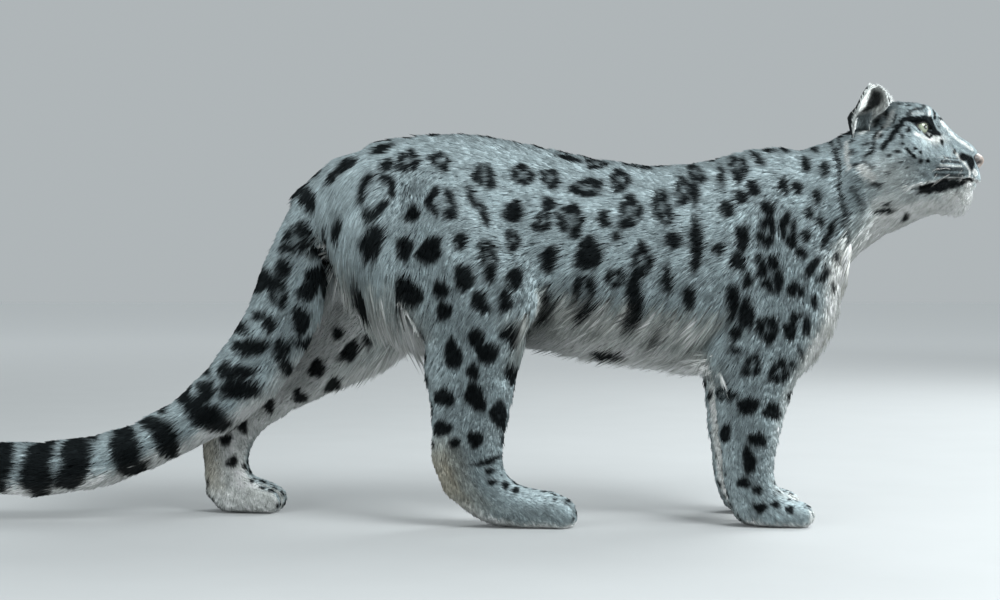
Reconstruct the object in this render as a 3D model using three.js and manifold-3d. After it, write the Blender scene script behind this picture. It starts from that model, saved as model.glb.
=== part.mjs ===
// A standing snow leopard at life size: millimetres, Z up, facing +X, right side towards -Y.
// Every surface is the outer limit of the coat. The animal is modelled whole and then parted
// with thin cuts where its parts meet.
import * as THREE from 'three';
import { mergeVertices } from 'three/addons/utils/BufferGeometryUtils.js';
import Module from 'manifold-3d';

const wasm = await Module();
wasm.setup();

// Driving sizes
const CUT = 0.4; // width of the thin cuts between the parts
const SPACE = 3000; // larger than the animal, for cutting shapes
const MIDLINE = 24; // the legs are cut from the trunk this far out from the midline
const SOLE = -6; // the paws are shaped down to here, then cut flat at the floor

const HEAD_TURN = THREE.MathUtils.degToRad(16); // the head looks this far to the right
const HEAD_PIVOT = new THREE.Vector3(515, 0, 556);

const EYE = { forward: 83, side: 40, height: 621, radius: 13.5, gaze: 0.62 };
const EAR = {
  forward: 4, side: 60, height: 628, wide: 37, deep: 18, tall: 66, wall: 5, root: 16,
  facing: 0.5, lean: 0.28,
};
const EAR_BLOCK = [34, 40, 90]; // half depth, half width and height of what counts as an ear
const NOSE = { forward: 162, height: 567, long: 18, wide: 17, tall: 15 };
const TOES = 4;
const TOE = { pitch: 22, halfWidth: 14, sink: 4, step: 4 }; // outer toes lie a step further back

// The forms of the face, for the right half and mirrored to the left: where each is centred
// (forward, side, height from the floor), how far it reaches, and how far it moves the surface.
const FACE = [
  { name: 'whisker pad', at: [143, 38, 551], reach: [26, 24, 22], move: [2, 8, 0] },
  { name: 'lip edge', at: [118, 44, 527], reach: [36, 22, 9], move: [0, -4, 0] },
  { name: 'chin', at: [138, 32, 506], reach: [26, 20, 16], move: [0, -8, 0] },
  { name: 'muzzle side', at: [114, 40, 583], reach: [16, 20, 24], move: [0, -5, 0] },
  { name: 'orbit', at: [99, 50, 620], reach: [17, 17, 14], move: [-13, -12, 0] },
  { name: 'brow', at: [88, 38, 645], reach: [20, 20, 13], move: [6, 4, 5] },
  { name: 'cheekbone', at: [82, 64, 590], reach: [30, 24, 22], move: [2, 7, 0] },
  { name: 'cheek ruff', at: [32, 82, 540], reach: [42, 34, 52], move: [0, 11, -2] },
];

// Coat colours
const PALE_GREY = 0xa9a79f;
const CHEST_WHITE = 0xd9d6cc;
const TAIL_GREY = 0x9b9a94;
const EYE_AMBER = 0x6f6a4a;
const NOSE_DARK = 0x4a3d3a;

const coat = (color) => new THREE.MeshStandardMaterial({ color, roughness: 0.9, metalness: 0 });
const MATERIALS = {
  body: coat(PALE_GREY),
  chest: coat(CHEST_WHITE),
  tail: coat(TAIL_GREY),
  eye: new THREE.MeshStandardMaterial({ color: EYE_AMBER, roughness: 0.08, metalness: 0 }),
  nose: new THREE.MeshStandardMaterial({ color: NOSE_DARK, roughness: 0.5, metalness: 0 }),
};

// Solids

// The closed geometry as a solid, turned outwards if its faces point in.
function solidOf(geometry) {
  geometry.deleteAttribute('normal');
  geometry.deleteAttribute('uv');
  const merged = mergeVertices(geometry, 1e-4);
  const points = merged.attributes.position.array;
  const corners = merged.index.array;
  const triangles = [];
  let volume = 0;
  const [a, b, c] = [new THREE.Vector3(), new THREE.Vector3(), new THREE.Vector3()];
  for (let i = 0; i < corners.length; i += 3) {
    const [p, q, r] = [corners[i], corners[i + 1], corners[i + 2]];
    if (p === q || q === r || r === p) continue;
    triangles.push([p, q, r]);
    a.fromArray(points, 3 * p);
    b.fromArray(points, 3 * q);
    c.fromArray(points, 3 * r);
    volume += a.dot(b.cross(c));
  }
  const outward = volume < 0 ? triangles.map(([p, q, r]) => [p, r, q]) : triangles;
  return new wasm.Manifold(new wasm.Mesh({
    numProp: 3,
    vertProperties: Float32Array.from(points),
    triVerts: Uint32Array.from(outward.flat()),
  }));
}

const join = (solids) => solids.reduce((whole, solid) => whole.add(solid));

// The numbers a share f of the way from one row of a list to the next, at the running places
// given: a cubic whose slope at each row is that from the row before it to the row after it.
function between(rows, places, span, f) {
  const row = (i) => Math.min(Math.max(i, 0), rows.length - 1);
  const slope = (i, k) => {
    const [before, after] = [row(i - 1), row(i + 1)];
    return (rows[after][k] - rows[before][k]) / (places[after] - places[before]);
  };
  const width = places[span + 1] - places[span];
  const [f2, f3] = [f * f, f * f * f];
  return rows[span].map((start, k) =>
    (2 * f3 - 3 * f2 + 1) * start
    + (f3 - 2 * f2 + f) * width * slope(span, k)
    + (3 * f2 - 2 * f3) * rows[span + 1][k]
    + (f3 - f2) * width * slope(span + 1, k));
}

// The point moved by every form of a moulding, each fading out like a bell about its centre.
function mould(point, moulding) {
  const side = point.y < 0 ? -1 : 1;
  for (const { at: [x, y, z], reach, move } of moulding) {
    const away = ((point.x - x) / reach[0]) ** 2
      + ((side * point.y - y) / reach[1]) ** 2 + ((point.z - z) / reach[2]) ** 2;
    const share = Math.exp(-away);
    point.x += share * move[0];
    point.y += share * move[1] * side;
    point.z += share * move[2];
  }
}

// A length of body swept through its sections. A section is the two points where it meets the
// outline in the side view (upper or front x, z, then lower or rear x, z), the y of its middle,
// its half breadth, and its lean: above 0 it is broader towards its first point, below 0
// towards its second. The ends are closed by domes of the given heights, and the forms of a
// moulding then move the surface.
function lengthOfBody(sections, options = {}) {
  const { ring = 12, steps = 1, square = 0.9, domes = [20, 20], moulding = [] } = options;
  const rows = sections.map((s) => (s.length < 7 ? [...s, 0] : s));
  const middle = (s) => new THREE.Vector3((s[0] + s[2]) / 2, s[4], (s[1] + s[3]) / 2);
  const places = [0];
  for (let i = 1; i < rows.length; i++) {
    places.push(places[i - 1] + Math.sqrt(middle(rows[i]).distanceTo(middle(rows[i - 1]))));
  }
  const swept = [];
  for (let span = 0; span < rows.length - 1; span++) {
    for (let step = 0; step < steps; step++) swept.push(between(rows, places, span, step / steps));
  }
  swept.push(rows[rows.length - 1]);

  const positions = [];
  const addRing = (s, shift, scale) => {
    const centre = middle(s).add(shift);
    for (let i = 0; i < ring; i++) {
      const angle = (2 * Math.PI * i) / ring;
      const up = Math.sign(Math.cos(angle)) * Math.abs(Math.cos(angle)) ** square * scale;
      const out = Math.sign(Math.sin(angle)) * Math.abs(Math.sin(angle)) ** square * scale;
      const point = new THREE.Vector3(
        centre.x + (up * (s[0] - s[2])) / 2,
        centre.y + out * s[5] * (1 + s[6] * up),
        centre.z + (up * (s[1] - s[3])) / 2,
      );
      mould(point, moulding);
      positions.push(point.x, point.y, point.z);
    }
  };
  const domeRings = 2;
  const outwardAt = (end, inner) => middle(end).sub(middle(inner)).normalize();
  const first = outwardAt(swept[0], swept[1]);
  const last = outwardAt(swept[swept.length - 1], swept[swept.length - 2]);
  for (let i = 1; i <= domeRings; i++) {
    const angle = (Math.PI / 2) * (i / (domeRings + 1));
    addRing(swept[0], first.clone().multiplyScalar(domes[0] * Math.cos(angle)), Math.sin(angle));
  }
  swept.forEach((s) => addRing(s, new THREE.Vector3(), 1));
  for (let i = domeRings; i >= 1; i--) {
    const angle = (Math.PI / 2) * (i / (domeRings + 1));
    const end = swept[swept.length - 1];
    addRing(end, last.clone().multiplyScalar(domes[1] * Math.cos(angle)), Math.sin(angle));
  }
  const ringCount = positions.length / 3 / ring;
  const startPole = positions.length / 3;
  const start = middle(swept[0]).add(first.multiplyScalar(domes[0]));
  const finish = middle(swept[swept.length - 1]).add(last.multiplyScalar(domes[1]));
  positions.push(start.x, start.y, start.z, finish.x, finish.y, finish.z);

  const index = [];
  for (let i = 0; i < ring; i++) {
    const next = (i + 1) % ring;
    for (let row = 0; row < ringCount - 1; row++) {
      const [a, b] = [row * ring + i, row * ring + next];
      index.push(a, b, b + ring, a, b + ring, a + ring);
    }
    const lastRing = (ringCount - 1) * ring;
    index.push(startPole, next, i, startPole + 1, lastRing + i, lastRing + next);
  }
  const geometry = new THREE.BufferGeometry();
  geometry.setAttribute('position', new THREE.Float32BufferAttribute(positions, 3));
  geometry.setIndex(index);
  return solidOf(geometry);
}

// A rounded mass: an ellipsoid of the given half sizes, placed by a matrix.
function mass(matrix, [long, wide, tall], [around, up] = [12, 8]) {
  const ball = new THREE.SphereGeometry(1, around, up);
  ball.rotateX(Math.PI / 2);
  ball.scale(long, wide, tall);
  ball.applyMatrix4(matrix);
  return solidOf(ball);
}

const at = (x, y, z) => new THREE.Matrix4().makeTranslation(x, y, z);

// Everything beyond a plane: the plane passes through a point and faces along its normal.
function beyond(point, normal, margin = 0) {
  const block = new THREE.BoxGeometry(SPACE, SPACE, SPACE);
  const direction = new THREE.Vector3(...normal).normalize();
  const turn = new THREE.Quaternion().setFromUnitVectors(new THREE.Vector3(0, 0, 1), direction);
  block.applyQuaternion(turn);
  const centre = new THREE.Vector3(...point).addScaledVector(direction, SPACE / 2 - margin);
  block.translate(centre.x, centre.y, centre.z);
  return solidOf(block);
}

// The solid parted by one thin flat cut: what lies beyond the plane, and the rest.
function part(solid, point, normal) {
  return {
    far: solid.intersect(beyond(point, normal)),
    near: solid.subtract(beyond(point, normal, CUT)),
  };
}

// A prism across the animal: its outline in the side view, pushed outwards by grow all round,
// running from one y to another.
function prism(outline, [yFrom, yTo], grow) {
  const points = outline.map(([x, z]) => new THREE.Vector2(x, z));
  if (THREE.ShapeUtils.area(points) < 0) points.reverse();
  const count = points.length;
  const moved = points.map((point, i) => {
    const before = points[(i + count - 1) % count].clone().sub(point).normalize();
    const after = points[(i + 1) % count].clone().sub(point).normalize();
    const out = after.clone().sub(before).normalize();
    const normal = new THREE.Vector2(out.y, -out.x);
    const sharpness = Math.abs(normal.x * after.y - normal.y * after.x);
    return point.clone().addScaledVector(normal, grow / sharpness);
  });
  const depth = yTo - yFrom + 2 * grow;
  const block = new THREE.ExtrudeGeometry(new THREE.Shape(moved), { depth, bevelEnabled: false });
  block.rotateX(Math.PI / 2);
  block.translate(0, yTo + grow, 0);
  return solidOf(block);
}

// The part of a solid inside the outline, and the rest, a thin cut apart.
function lift(solid, outline, across) {
  return {
    far: solid.intersect(prism(outline, across, 0)),
    near: solid.subtract(prism(outline, across, CUT)),
  };
}

// Trunk, neck and tail

function trunk() {
  return lengthOfBody([
    [-343, 573, -344, 430, 0, 72, -0.1],
    [-311, 591, -312, 374, 0, 100, -0.1],
    [-256, 608, -256, 334, 0, 118, -0.12],
    [-184, 617, -184, 302, 0, 121, -0.12],
    [-104, 616, -104, 289, 0, 116, -0.1],
    [-8, 597, -8, 284, 0, 117, -0.1],
    [88, 576, 88, 265, 0, 126, -0.1],
    [176, 565, 176, 252, 0, 134, -0.12],
    [256, 573, 256, 236, 0, 136, -0.15],
    [328, 593, 328, 238, 0, 130, -0.2],
    [384, 598, 386, 245, 0, 120, -0.2],
    [431, 589, 440, 262, 0, 104, -0.15],
    [462, 560, 468, 318, 0, 80, -0.1],
  ], { ring: 16, domes: [22, 14] });
}

function neck() {
  return lengthOfBody([
    [382, 589, 428, 278, 0, 105, -0.1],
    [426, 596, 480, 366, 0, 100, -0.1],
    [470, 612, 499, 414, -1, 93, -0.05],
    [504, 634, 538, 449, -3, 86, 0],
    [536, 648, 572, 472, -9, 78, 0],
  ], { ring: 14, domes: [10, 16] });
}

function tail() {
  const drift = -14; // the tail swings a little to the right, past the left hock
  return lengthOfBody([
    [-262, 600, -250, 500, 0, 40],
    [-320, 590, -290, 488, -2, 42],
    [-387, 543, -334, 484, -6, 44],
    [-419, 478, -341, 446, -10, 47],
    [-449, 414, -341, 395, drift, 50],
    [-472, 350, -350, 331, drift, 52],
    [-498, 302, -373, 276, drift, 53],
    [-534, 252, -418, 206, drift, 53],
    [-586, 199, -483, 150, drift, 50],
    [-651, 159, -590, 94, drift, 47],
    [-714, 139, -690, 52, drift, 46],
    [-794, 128, -796, 34, drift, 46],
    [-875, 127, -881, 39, drift, 45],
    [-944, 133, -956, 47, drift, 44],
    [-1000, 148, -1024, 68, drift, 40],
  ], { ring: 12, domes: [10, 34] });
}

// Legs: side is -1 for the right legs and 1 for the left ones

function toes(x, y, [long, tall]) {
  return Array.from({ length: TOES }, (_, i) => {
    const off = i - (TOES - 1) / 2;
    const middle = at(x - TOE.step * off * off, y + off * TOE.pitch, tall - TOE.sink);
    return mass(middle, [long, TOE.halfWidth, tall], [6, 5]);
  });
}

function foreleg(side) {
  const y = (value) => side * value;
  const limb = lengthOfBody([
    [450, 470, 306, 500, y(66), 42],
    [468, 408, 272, 430, y(80), 50],
    [458, 334, 248, 329, y(84), 52],
    [428, 272, 242, 268, y(83), 50],
    [392, 224, 257, 220, y(80), 45],
    [376, 178, 264, 178, y(77), 41],
    [365, 133, 269, 133, y(75), 38],
    [356, 90, 275, 89, y(75), 37],
    [360, 60, 280, 52, y(75), 38],
    [374, 48, 296, 8, y(75), 42],
    [390, 39, 330, SOLE, y(75), 46],
    [404, 29, 372, SOLE, y(75), 43],
    [414, 18, 400, SOLE, y(75), 34],
  ], { square: 0.85, domes: [30, 8] });
  return join([limb, ...toes(398, y(75), [27, 21])]);
}

function rightHindLeg() {
  const limb = lengthOfBody([
    [-150, 552, -298, 536, -60, 38],
    [-66, 494, -322, 478, -80, 54],
    [-10, 411, -304, 411, -91, 58],
    [1, 343, -240, 343, -94, 54],
    [-22, 286, -197, 294, -95, 48],
    [-41, 234, -192, 236, -95, 43],
    [-52, 184, -182, 186, -94, 40],
    [-64, 136, -180, 140, -92, 38],
    [-66, 100, -182, 100, -90, 36],
    [-62, 80, -158, 50, -88, 35],
    [-46, 66, -104, 8, -86, 38],
    [-22, 58, -53, SOLE, -85, 43],
    [8, 54, -10, SOLE, -85, 46],
    [30, 44, 20, SOLE, -85, 42],
    [42, 30, 38, SOLE, -85, 33],
  ], { square: 0.85, domes: [30, 8] });
  return join([limb, ...toes(26, -85, [27, 25])]);
}

function leftHindLeg() {
  const limb = lengthOfBody([
    [-152, 548, -312, 532, 62, 38],
    [-72, 471, -364, 440, 90, 53],
    [-138, 340, -400, 372, 98, 53],
    [-237, 252, -428, 326, 100, 49],
    [-329, 201, -470, 268, 101, 46],
    [-411, 166, -527, 224, 100, 42],
    [-464, 132, -558, 176, 97, 38],
    [-484, 104, -566, 124, 94, 36],
    [-488, 76, -562, 76, 92, 36],
    [-480, 58, -556, 24, 90, 38],
    [-466, 54, -528, SOLE, 88, 43],
    [-448, 46, -478, SOLE, 88, 46],
    [-432, 32, -444, SOLE, 88, 40],
  ], { square: 0.85, domes: [30, 8] });
  return join([limb, ...toes(-446, 88, [27, 24])]);
}

// Head: worked out facing straight ahead, with x forward of the pivot, then turned

const HEAD_FRAME = new THREE.Matrix4()
  .makeTranslation(HEAD_PIVOT.x, HEAD_PIVOT.y, 0)
  .multiply(new THREE.Matrix4().makeRotationZ(-HEAD_TURN));

const turned = (solid) => solid.transform(HEAD_FRAME.elements);
const bothSides = (make) => [make(-1), make(1)];

function skull() {
  return lengthOfBody([
    [-14, 632, 16, 448, 0, 80, -0.02],
    [15, 659, 43, 464, 0, 84, 0],
    [42, 666, 68, 476, 0, 82, 0],
    [68, 664, 88, 485, 0, 76, -0.03],
    [90, 659, 106, 491, 0, 65, -0.1],
    [107, 649, 120, 490, 0, 55, -0.2],
    [121, 631, 132, 489, 0, 46, -0.28],
    [134, 616, 143, 489, 0, 41, -0.32],
    [147, 606, 150, 494, 0, 38, -0.32],
    [159, 598, 156, 506, 0, 33, -0.25],
    [168, 589, 162, 521, 0, 25, -0.1],
    [173, 580, 167, 541, 0, 16, 0],
  ], { ring: 16, steps: 2, square: 0.9, domes: [26, 2], moulding: FACE });
}

// The ear's own frame: x out of its opening, y across it, z up to its tip.
function earFrame(side) {
  return at(EAR.forward, side * EAR.side, EAR.height)
    .multiply(new THREE.Matrix4().makeRotationX(-side * EAR.lean))
    .multiply(new THREE.Matrix4().makeRotationZ(side * EAR.facing));
}

// A rounded flap on a broad base, hollowed from the front to a wall that thins to its rim.
function earCup(side) {
  const { wide, deep, tall, wall } = EAR;
  const flap = lengthOfBody([
    [0.9 * deep, -0.4 * tall, -0.5 * deep, -0.4 * tall, 0, 0.7 * wide],
    [deep, 0, -deep, 0, 0, wide],
    [0.9 * deep, 0.35 * tall, -0.9 * deep, 0.35 * tall, 0, 0.92 * wide],
    [0.75 * deep, 0.65 * tall, -0.75 * deep, 0.65 * tall, 0, 0.72 * wide],
    [0.55 * deep, 0.86 * tall, -0.55 * deep, 0.86 * tall, 0, 0.48 * wide],
    [0.4 * deep, 0.96 * tall, -0.4 * deep, 0.96 * tall, 0, 0.28 * wide],
  ], { ring: 10, domes: [8, 0.06 * tall] });
  const hollow = lengthOfBody([
    [2 * deep, 0.02 * tall, 0, 0.02 * tall, 0, 0.6 * wide - wall],
    [2.2 * deep, 0.3 * tall, -0.4 * deep, 0.3 * tall, 0, 0.95 * wide - wall],
    [2 * deep, 0.6 * tall, -0.3 * deep, 0.6 * tall, 0, 0.78 * wide - wall],
    [1.6 * deep, 0.84 * tall, -0.1 * deep, 0.84 * tall, 0, 0.52 * wide - wall],
  ], { ring: 8, domes: [6, 0.06 * tall] });
  return flap.subtract(hollow).transform(earFrame(side).elements);
}

function earBlock(side, grow) {
  const [halfDepth, halfWidth, height] = EAR_BLOCK.map((size) => size + grow);
  const block = new THREE.BoxGeometry(2 * halfDepth, 2 * halfWidth, height);
  block.translate(0, 0, height / 2 - grow - EAR.root);
  block.applyMatrix4(earFrame(side));
  return solidOf(block);
}

function eyeball(side, grow) {
  const radius = EYE.radius + grow;
  const place = at(EYE.forward, side * EYE.side, EYE.height)
    .multiply(new THREE.Matrix4().makeRotationZ(side * EYE.gaze));
  return mass(place, [radius, radius, radius], [12, 8]);
}

function noseLeather(grow) {
  const half = [NOSE.long + grow, NOSE.wide + grow, NOSE.tall + grow];
  return mass(at(NOSE.forward, 0, NOSE.height), half);
}

function head() {
  const face = join([skull(), ...bothSides(earCup)]);
  return bothSides((side) => eyeball(side, CUT))
    .reduce((left, hollow) => left.subtract(hollow), face)
    .subtract(noseLeather(CUT));
}

// The whole animal, standing on the floor

const overFloor = (solid) => solid.intersect(beyond([0, 0, 0], [0, 0, 1]));

const whole = overFloor(join([
  trunk(),
  neck(),
  tail(),
  foreleg(-1),
  foreleg(1),
  rightHindLeg(),
  leftHindLeg(),
  turned(head()),
]));

// Parting

const parts = [];
const keep = (name, material, solid) => parts.push({ name, material, solid });

const OUTER = 400; // beyond the animal's sides
const TAIL_SIDES = [-120, 40];
const LEG_SIDES = { right: [-OUTER, -MIDLINE], left: [MIDLINE, OUTER] };

const TAIL_OUTLINE = [
  [-316, 640], [-352, 425], [-337, 400], [-337, 250], [-420, 20], [-1200, 20], [-1200, 640],
];
const FORELEG_OUTLINE = [
  [220, -30], [500, -30], [500, 300], [482, 410], [446, 498], [388, 540], [306, 536],
  [262, 470], [236, 380], [220, 250],
];
const RIGHT_HIND_OUTLINE = [
  [-240, -30], [80, -30], [64, 100], [0, 190], [-6, 290], [10, 350], [4, 420], [-42, 505],
  [-108, 572], [-226, 586], [-318, 524], [-334, 430], [-300, 350],
];
const LEFT_HIND_OUTLINE = [
  [-700, -30], [-300, -30], [-110, 200], [-40, 330], [-34, 470], [-108, 572], [-226, 586],
  [-318, 524], [-376, 480], [-462, 345], [-700, 262],
];

// Planes of the cuts across, each given by a point and the way towards the further part.
const TAIL_CUTS = [
  [[-400, 0, 400], [-0.35, 0, -1]],
  [[-480, 0, 228], [-0.7, 0, -0.72]],
  [[-640, 0, 118], [-1, 0, -0.4]],
  [[-838, 0, 80], [-1, 0, 0]],
];
const WRIST = [[0, 0, 62], [0, 0, -1]];
const ELBOW = [[350, 0, 246], [-0.03, 0, -1]];
const RIGHT_HOCK = [[-122, 0, 112], [0, 0, -1]];
const RIGHT_KNEE = [[-110, 0, 296], [0.1, 0, -1]];
const LEFT_HOCK = [[-512, 0, 150], [-0.42, 0, -1]];
const LEFT_KNEE = [[-262, 0, 300], [-1, 0, -0.95]];
const NECK_BASE = [[452, 0, 450], [1, 0, 0.45]];
const HEAD_BASE = { forward: 0, height: 545, normal: [1, 0, 0.42] }; // in the head's own frame

// Tail, cut across into five lengths.
let { far: rest, near: body } = lift(whole, TAIL_OUTLINE, TAIL_SIDES);
TAIL_CUTS.forEach(([point, normal], i) => {
  const cut = part(rest, point, normal);
  keep(`tail_${i + 1}`, 'tail', cut.near);
  rest = cut.far;
});
keep(`tail_${TAIL_CUTS.length + 1}`, 'tail', rest);

// Legs, each lifted off the trunk and cut across at its two lower joints.
const legs = [
  ['fore', 'right', FORELEG_OUTLINE, WRIST, ELBOW],
  ['fore', 'left', FORELEG_OUTLINE, WRIST, ELBOW],
  ['hind', 'right', RIGHT_HIND_OUTLINE, RIGHT_HOCK, RIGHT_KNEE],
  ['hind', 'left', LEFT_HIND_OUTLINE, LEFT_HOCK, LEFT_KNEE],
];
for (const [which, side, outline, lowerCut, upperCut] of legs) {
  const leg = lift(body, outline, LEG_SIDES[side]);
  body = leg.near;
  const upper = part(leg.far, ...upperCut);
  const lower = part(upper.far, ...lowerCut);
  keep(`${which}_leg_upper_${side}`, 'body', upper.near);
  keep(`${which}_leg_lower_${side}`, 'body', lower.near);
  keep(`${which}_paw_${side}`, 'body', lower.far);
}

// Head and neck, then the ears.
const headPoint = new THREE.Vector3(HEAD_BASE.forward, 0, HEAD_BASE.height);
const headNormal = new THREE.Vector3(...HEAD_BASE.normal).transformDirection(HEAD_FRAME);
const headCut = part(body, headPoint.applyMatrix4(HEAD_FRAME).toArray(), headNormal.toArray());
const neckCut = part(headCut.near, ...NECK_BASE);
let headPart = headCut.far;
for (const [side, name] of [[-1, 'right'], [1, 'left']]) {
  keep(`ear_${name}`, 'body', headPart.intersect(turned(earBlock(side, 0))));
  headPart = headPart.subtract(turned(earBlock(side, CUT)));
  keep(`eye_${name}`, 'eye', turned(eyeball(side, 0)));
}
keep('nose', 'nose', turned(noseLeather(0)));
keep('head', 'body', headPart);
keep('neck', 'chest', neckCut.far);
keep('trunk', 'body', neckCut.near);

// The finished group, with its origin at floor level under the middle of the animal's box.
const leopard = new THREE.Group();
const reach = new THREE.Box3();
for (const { name, material, solid } of parts) {
  const { vertProperties, triVerts } = solid.getMesh();
  const geometry = new THREE.BufferGeometry();
  geometry.setAttribute('position', new THREE.Float32BufferAttribute(vertProperties, 3));
  geometry.setIndex([...triVerts]);
  geometry.computeBoundingBox();
  reach.union(geometry.boundingBox);
  const mesh = new THREE.Mesh(geometry, MATERIALS[material]);
  mesh.name = name;
  leopard.add(mesh);
}
const middle = reach.getCenter(new THREE.Vector3());
for (const mesh of leopard.children) mesh.geometry.translate(-middle.x, -middle.y, -reach.min.z);

export default leopard;
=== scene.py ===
import math

import bmesh
import bpy
import numpy as np
import openvdb
from bpy.props import FloatProperty, FloatVectorProperty, IntProperty, PointerProperty
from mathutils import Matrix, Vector
from mathutils.bvhtree import BVHTree
from mathutils.kdtree import KDTree


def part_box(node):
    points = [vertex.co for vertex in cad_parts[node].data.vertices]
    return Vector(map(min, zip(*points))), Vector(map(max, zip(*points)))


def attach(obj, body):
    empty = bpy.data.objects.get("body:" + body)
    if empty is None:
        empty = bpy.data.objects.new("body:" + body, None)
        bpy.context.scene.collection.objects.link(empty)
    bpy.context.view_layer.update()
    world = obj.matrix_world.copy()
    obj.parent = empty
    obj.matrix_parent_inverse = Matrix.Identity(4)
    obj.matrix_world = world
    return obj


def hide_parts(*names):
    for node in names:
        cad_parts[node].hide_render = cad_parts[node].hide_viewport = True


bl_info = {
    "name": "Snow leopard looks",
    "version": (1, 0, 0),
    "blender": (4, 5, 0),
    "location": "3D View > Sidebar > Leopard",
    "description": "Skin, coat, eyes, nose and whiskers of a life-size snow leopard",
    "category": "Object",
}

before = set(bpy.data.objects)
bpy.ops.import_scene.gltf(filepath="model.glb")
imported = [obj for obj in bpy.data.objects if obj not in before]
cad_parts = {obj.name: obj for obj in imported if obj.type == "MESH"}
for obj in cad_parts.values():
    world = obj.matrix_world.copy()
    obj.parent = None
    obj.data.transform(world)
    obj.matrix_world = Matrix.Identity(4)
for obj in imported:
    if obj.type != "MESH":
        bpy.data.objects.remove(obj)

SEED = 20
PICTURE = (1000, 600)

NOT_FLESH = ("ear_", "eye_", "nose")
FLESH = [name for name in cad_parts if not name.startswith(NOT_FLESH)]
EARS = ("ear_right", "ear_left")


# Small helpers on arrays


def unit(v):
    """Each vector divided by its own length."""
    return v / np.maximum(np.linalg.norm(v, axis=-1, keepdims=True), 1e-12)


def dot(a, b):
    """The scalar product of each pair of vectors."""
    return np.sum(a * b, axis=-1)


def ramp(low, high, x):
    """0 below low, 1 above high, and a smooth cubic between them. Low may be above high."""
    t = np.clip((x - low) / (high - low), 0.0, 1.0)
    return t * t * (3 - 2 * t)


def mix(a, b, share):
    """a where share is 0 and b where it is 1."""
    share = np.asarray(share)[..., None] if np.ndim(a) > 0 and np.ndim(share) > 0 else share
    return a * (1 - share) + b * share


def bell(x, width):
    """1 where x is 0, falling off as e to the power of minus the square of x over the width."""
    return np.exp(-((x / width) ** 2))


def form(places, centre, reach):
    """1 at a centre, falling off as e to the power of minus the square of the distance from it,
    which is measured in reaches along each axis."""
    away = (places - np.array(centre)) / reach
    return np.exp(-dot(away, away))


def ripple(points, size, seed):
    """A smooth random value about -1 to 1 with features of about the given size: a few plane waves
    in random directions, added up."""
    rng = np.random.default_rng(seed)
    total = np.zeros(len(points))
    waves = 7
    for _ in range(waves):
        way = unit(rng.normal(size=3)) * rng.uniform(0.7, 1.5) * 2 * np.pi / size
        total += np.sin(points @ way + rng.uniform(0, 2 * np.pi))
    return total / math.sqrt(waves)


# The frame: the head's own axes, the body's middle lines and the camera


def shell_of(name):
    """A node's merged points and its triangles."""
    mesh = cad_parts[name].data
    points = np.empty(len(mesh.vertices) * 3, np.float32)
    mesh.vertices.foreach_get("co", points)
    mesh.calc_loop_triangles()
    corners = np.empty(len(mesh.loop_triangles) * 3, np.int32)
    mesh.loop_triangles.foreach_get("vertices", corners)
    merged, where = np.unique(np.round(points.reshape(-1, 3), 5), axis=0, return_inverse=True)
    return merged.astype(float), where.ravel()[corners].reshape(-1, 3)


SHELLS = {name: shell_of(name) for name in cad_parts}
CENTRE = {name: points.mean(0) for name, (points, _) in SHELLS.items()}

HEAD_TURN = math.radians(16)
AHEAD = np.array([math.cos(HEAD_TURN), -math.sin(HEAD_TURN), 0.0])
LEFT = np.array([math.sin(HEAD_TURN), math.cos(HEAD_TURN), 0.0])
UP = np.array([0.0, 0.0, 1.0])
NOSE_AHEAD = 0.162  # from the head's pivot to the middle of the nose
PIVOT = (CENTRE["nose"] - NOSE_AHEAD * AHEAD) * (1, 1, 0)
SIDES = {"right": -1, "left": 1}


def from_head(places):
    """Points from the head's own places: ahead of the pivot, to the left of its middle plane, and
    height over the floor."""
    places = np.asarray(places, float)
    return PIVOT + places[..., :1] * AHEAD + places[..., 1:2] * LEFT + places[..., 2:] * UP


def in_head(points):
    """The head's own places of points: ahead, left and height."""
    away = points - PIVOT
    return np.stack([away @ AHEAD, away @ LEFT, points[..., 2]], -1)


def folded(points):
    """The head's own places of points, with the right side folded onto the left."""
    place = in_head(points)
    place[:, 1] = np.abs(place[:, 1])
    return place


CAMERA_BACK = 0.587  # how far behind the head's pivot the camera stands
CAMERA_AWAY = 3.0  # and how far to the right of it
CAMERA_HEIGHT = 0.42
AIM_HEIGHT = 0.35
CAMERA = PIVOT + (-CAMERA_BACK, -CAMERA_AWAY, CAMERA_HEIGHT)
AIM = PIVOT + (-CAMERA_BACK, 0, AIM_HEIGHT)
PIXEL = 0.0016  # the size of a pixel of the picture at the aim
LOOK = unit(AIM - CAMERA)
ACROSS = np.array([1.0, 0.0, 0.0])
PICTURE_UP = np.cross(ACROSS, LOOK)
FOCUS = np.linalg.norm(AIM - CAMERA) / PIXEL


def sight(x, y):
    """The direction from the camera through a pixel of the picture."""
    right = (x - PICTURE[0] / 2) / FOCUS
    over = (PICTURE[1] / 2 - y) / FOCUS
    return unit(LOOK + right * ACROSS + over * PICTURE_UP)


def leg_line(end, side, top):
    """The middle line of a leg from its top to its toes, with its half breadth and coat depth."""
    upper = CENTRE[f"{end}_leg_upper_{side}"]
    lower = CENTRE[f"{end}_leg_lower_{side}"]
    low, high = (np.array(corner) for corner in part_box(f"{end}_paw_{side}"))
    toe = np.array([high[0] - 0.03, (low[1] + high[1]) / 2, 0.022])
    ankle = np.array([low[0] + 0.042, (low[1] + high[1]) / 2, high[2]])
    return [
        (upper + top, 0.075, 0.010),
        (upper, 0.062, 0.009),
        (lower, 0.042, 0.007),
        (ankle, 0.036, 0.005),
        (toe, 0.036, 0.0030),
    ]


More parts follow.
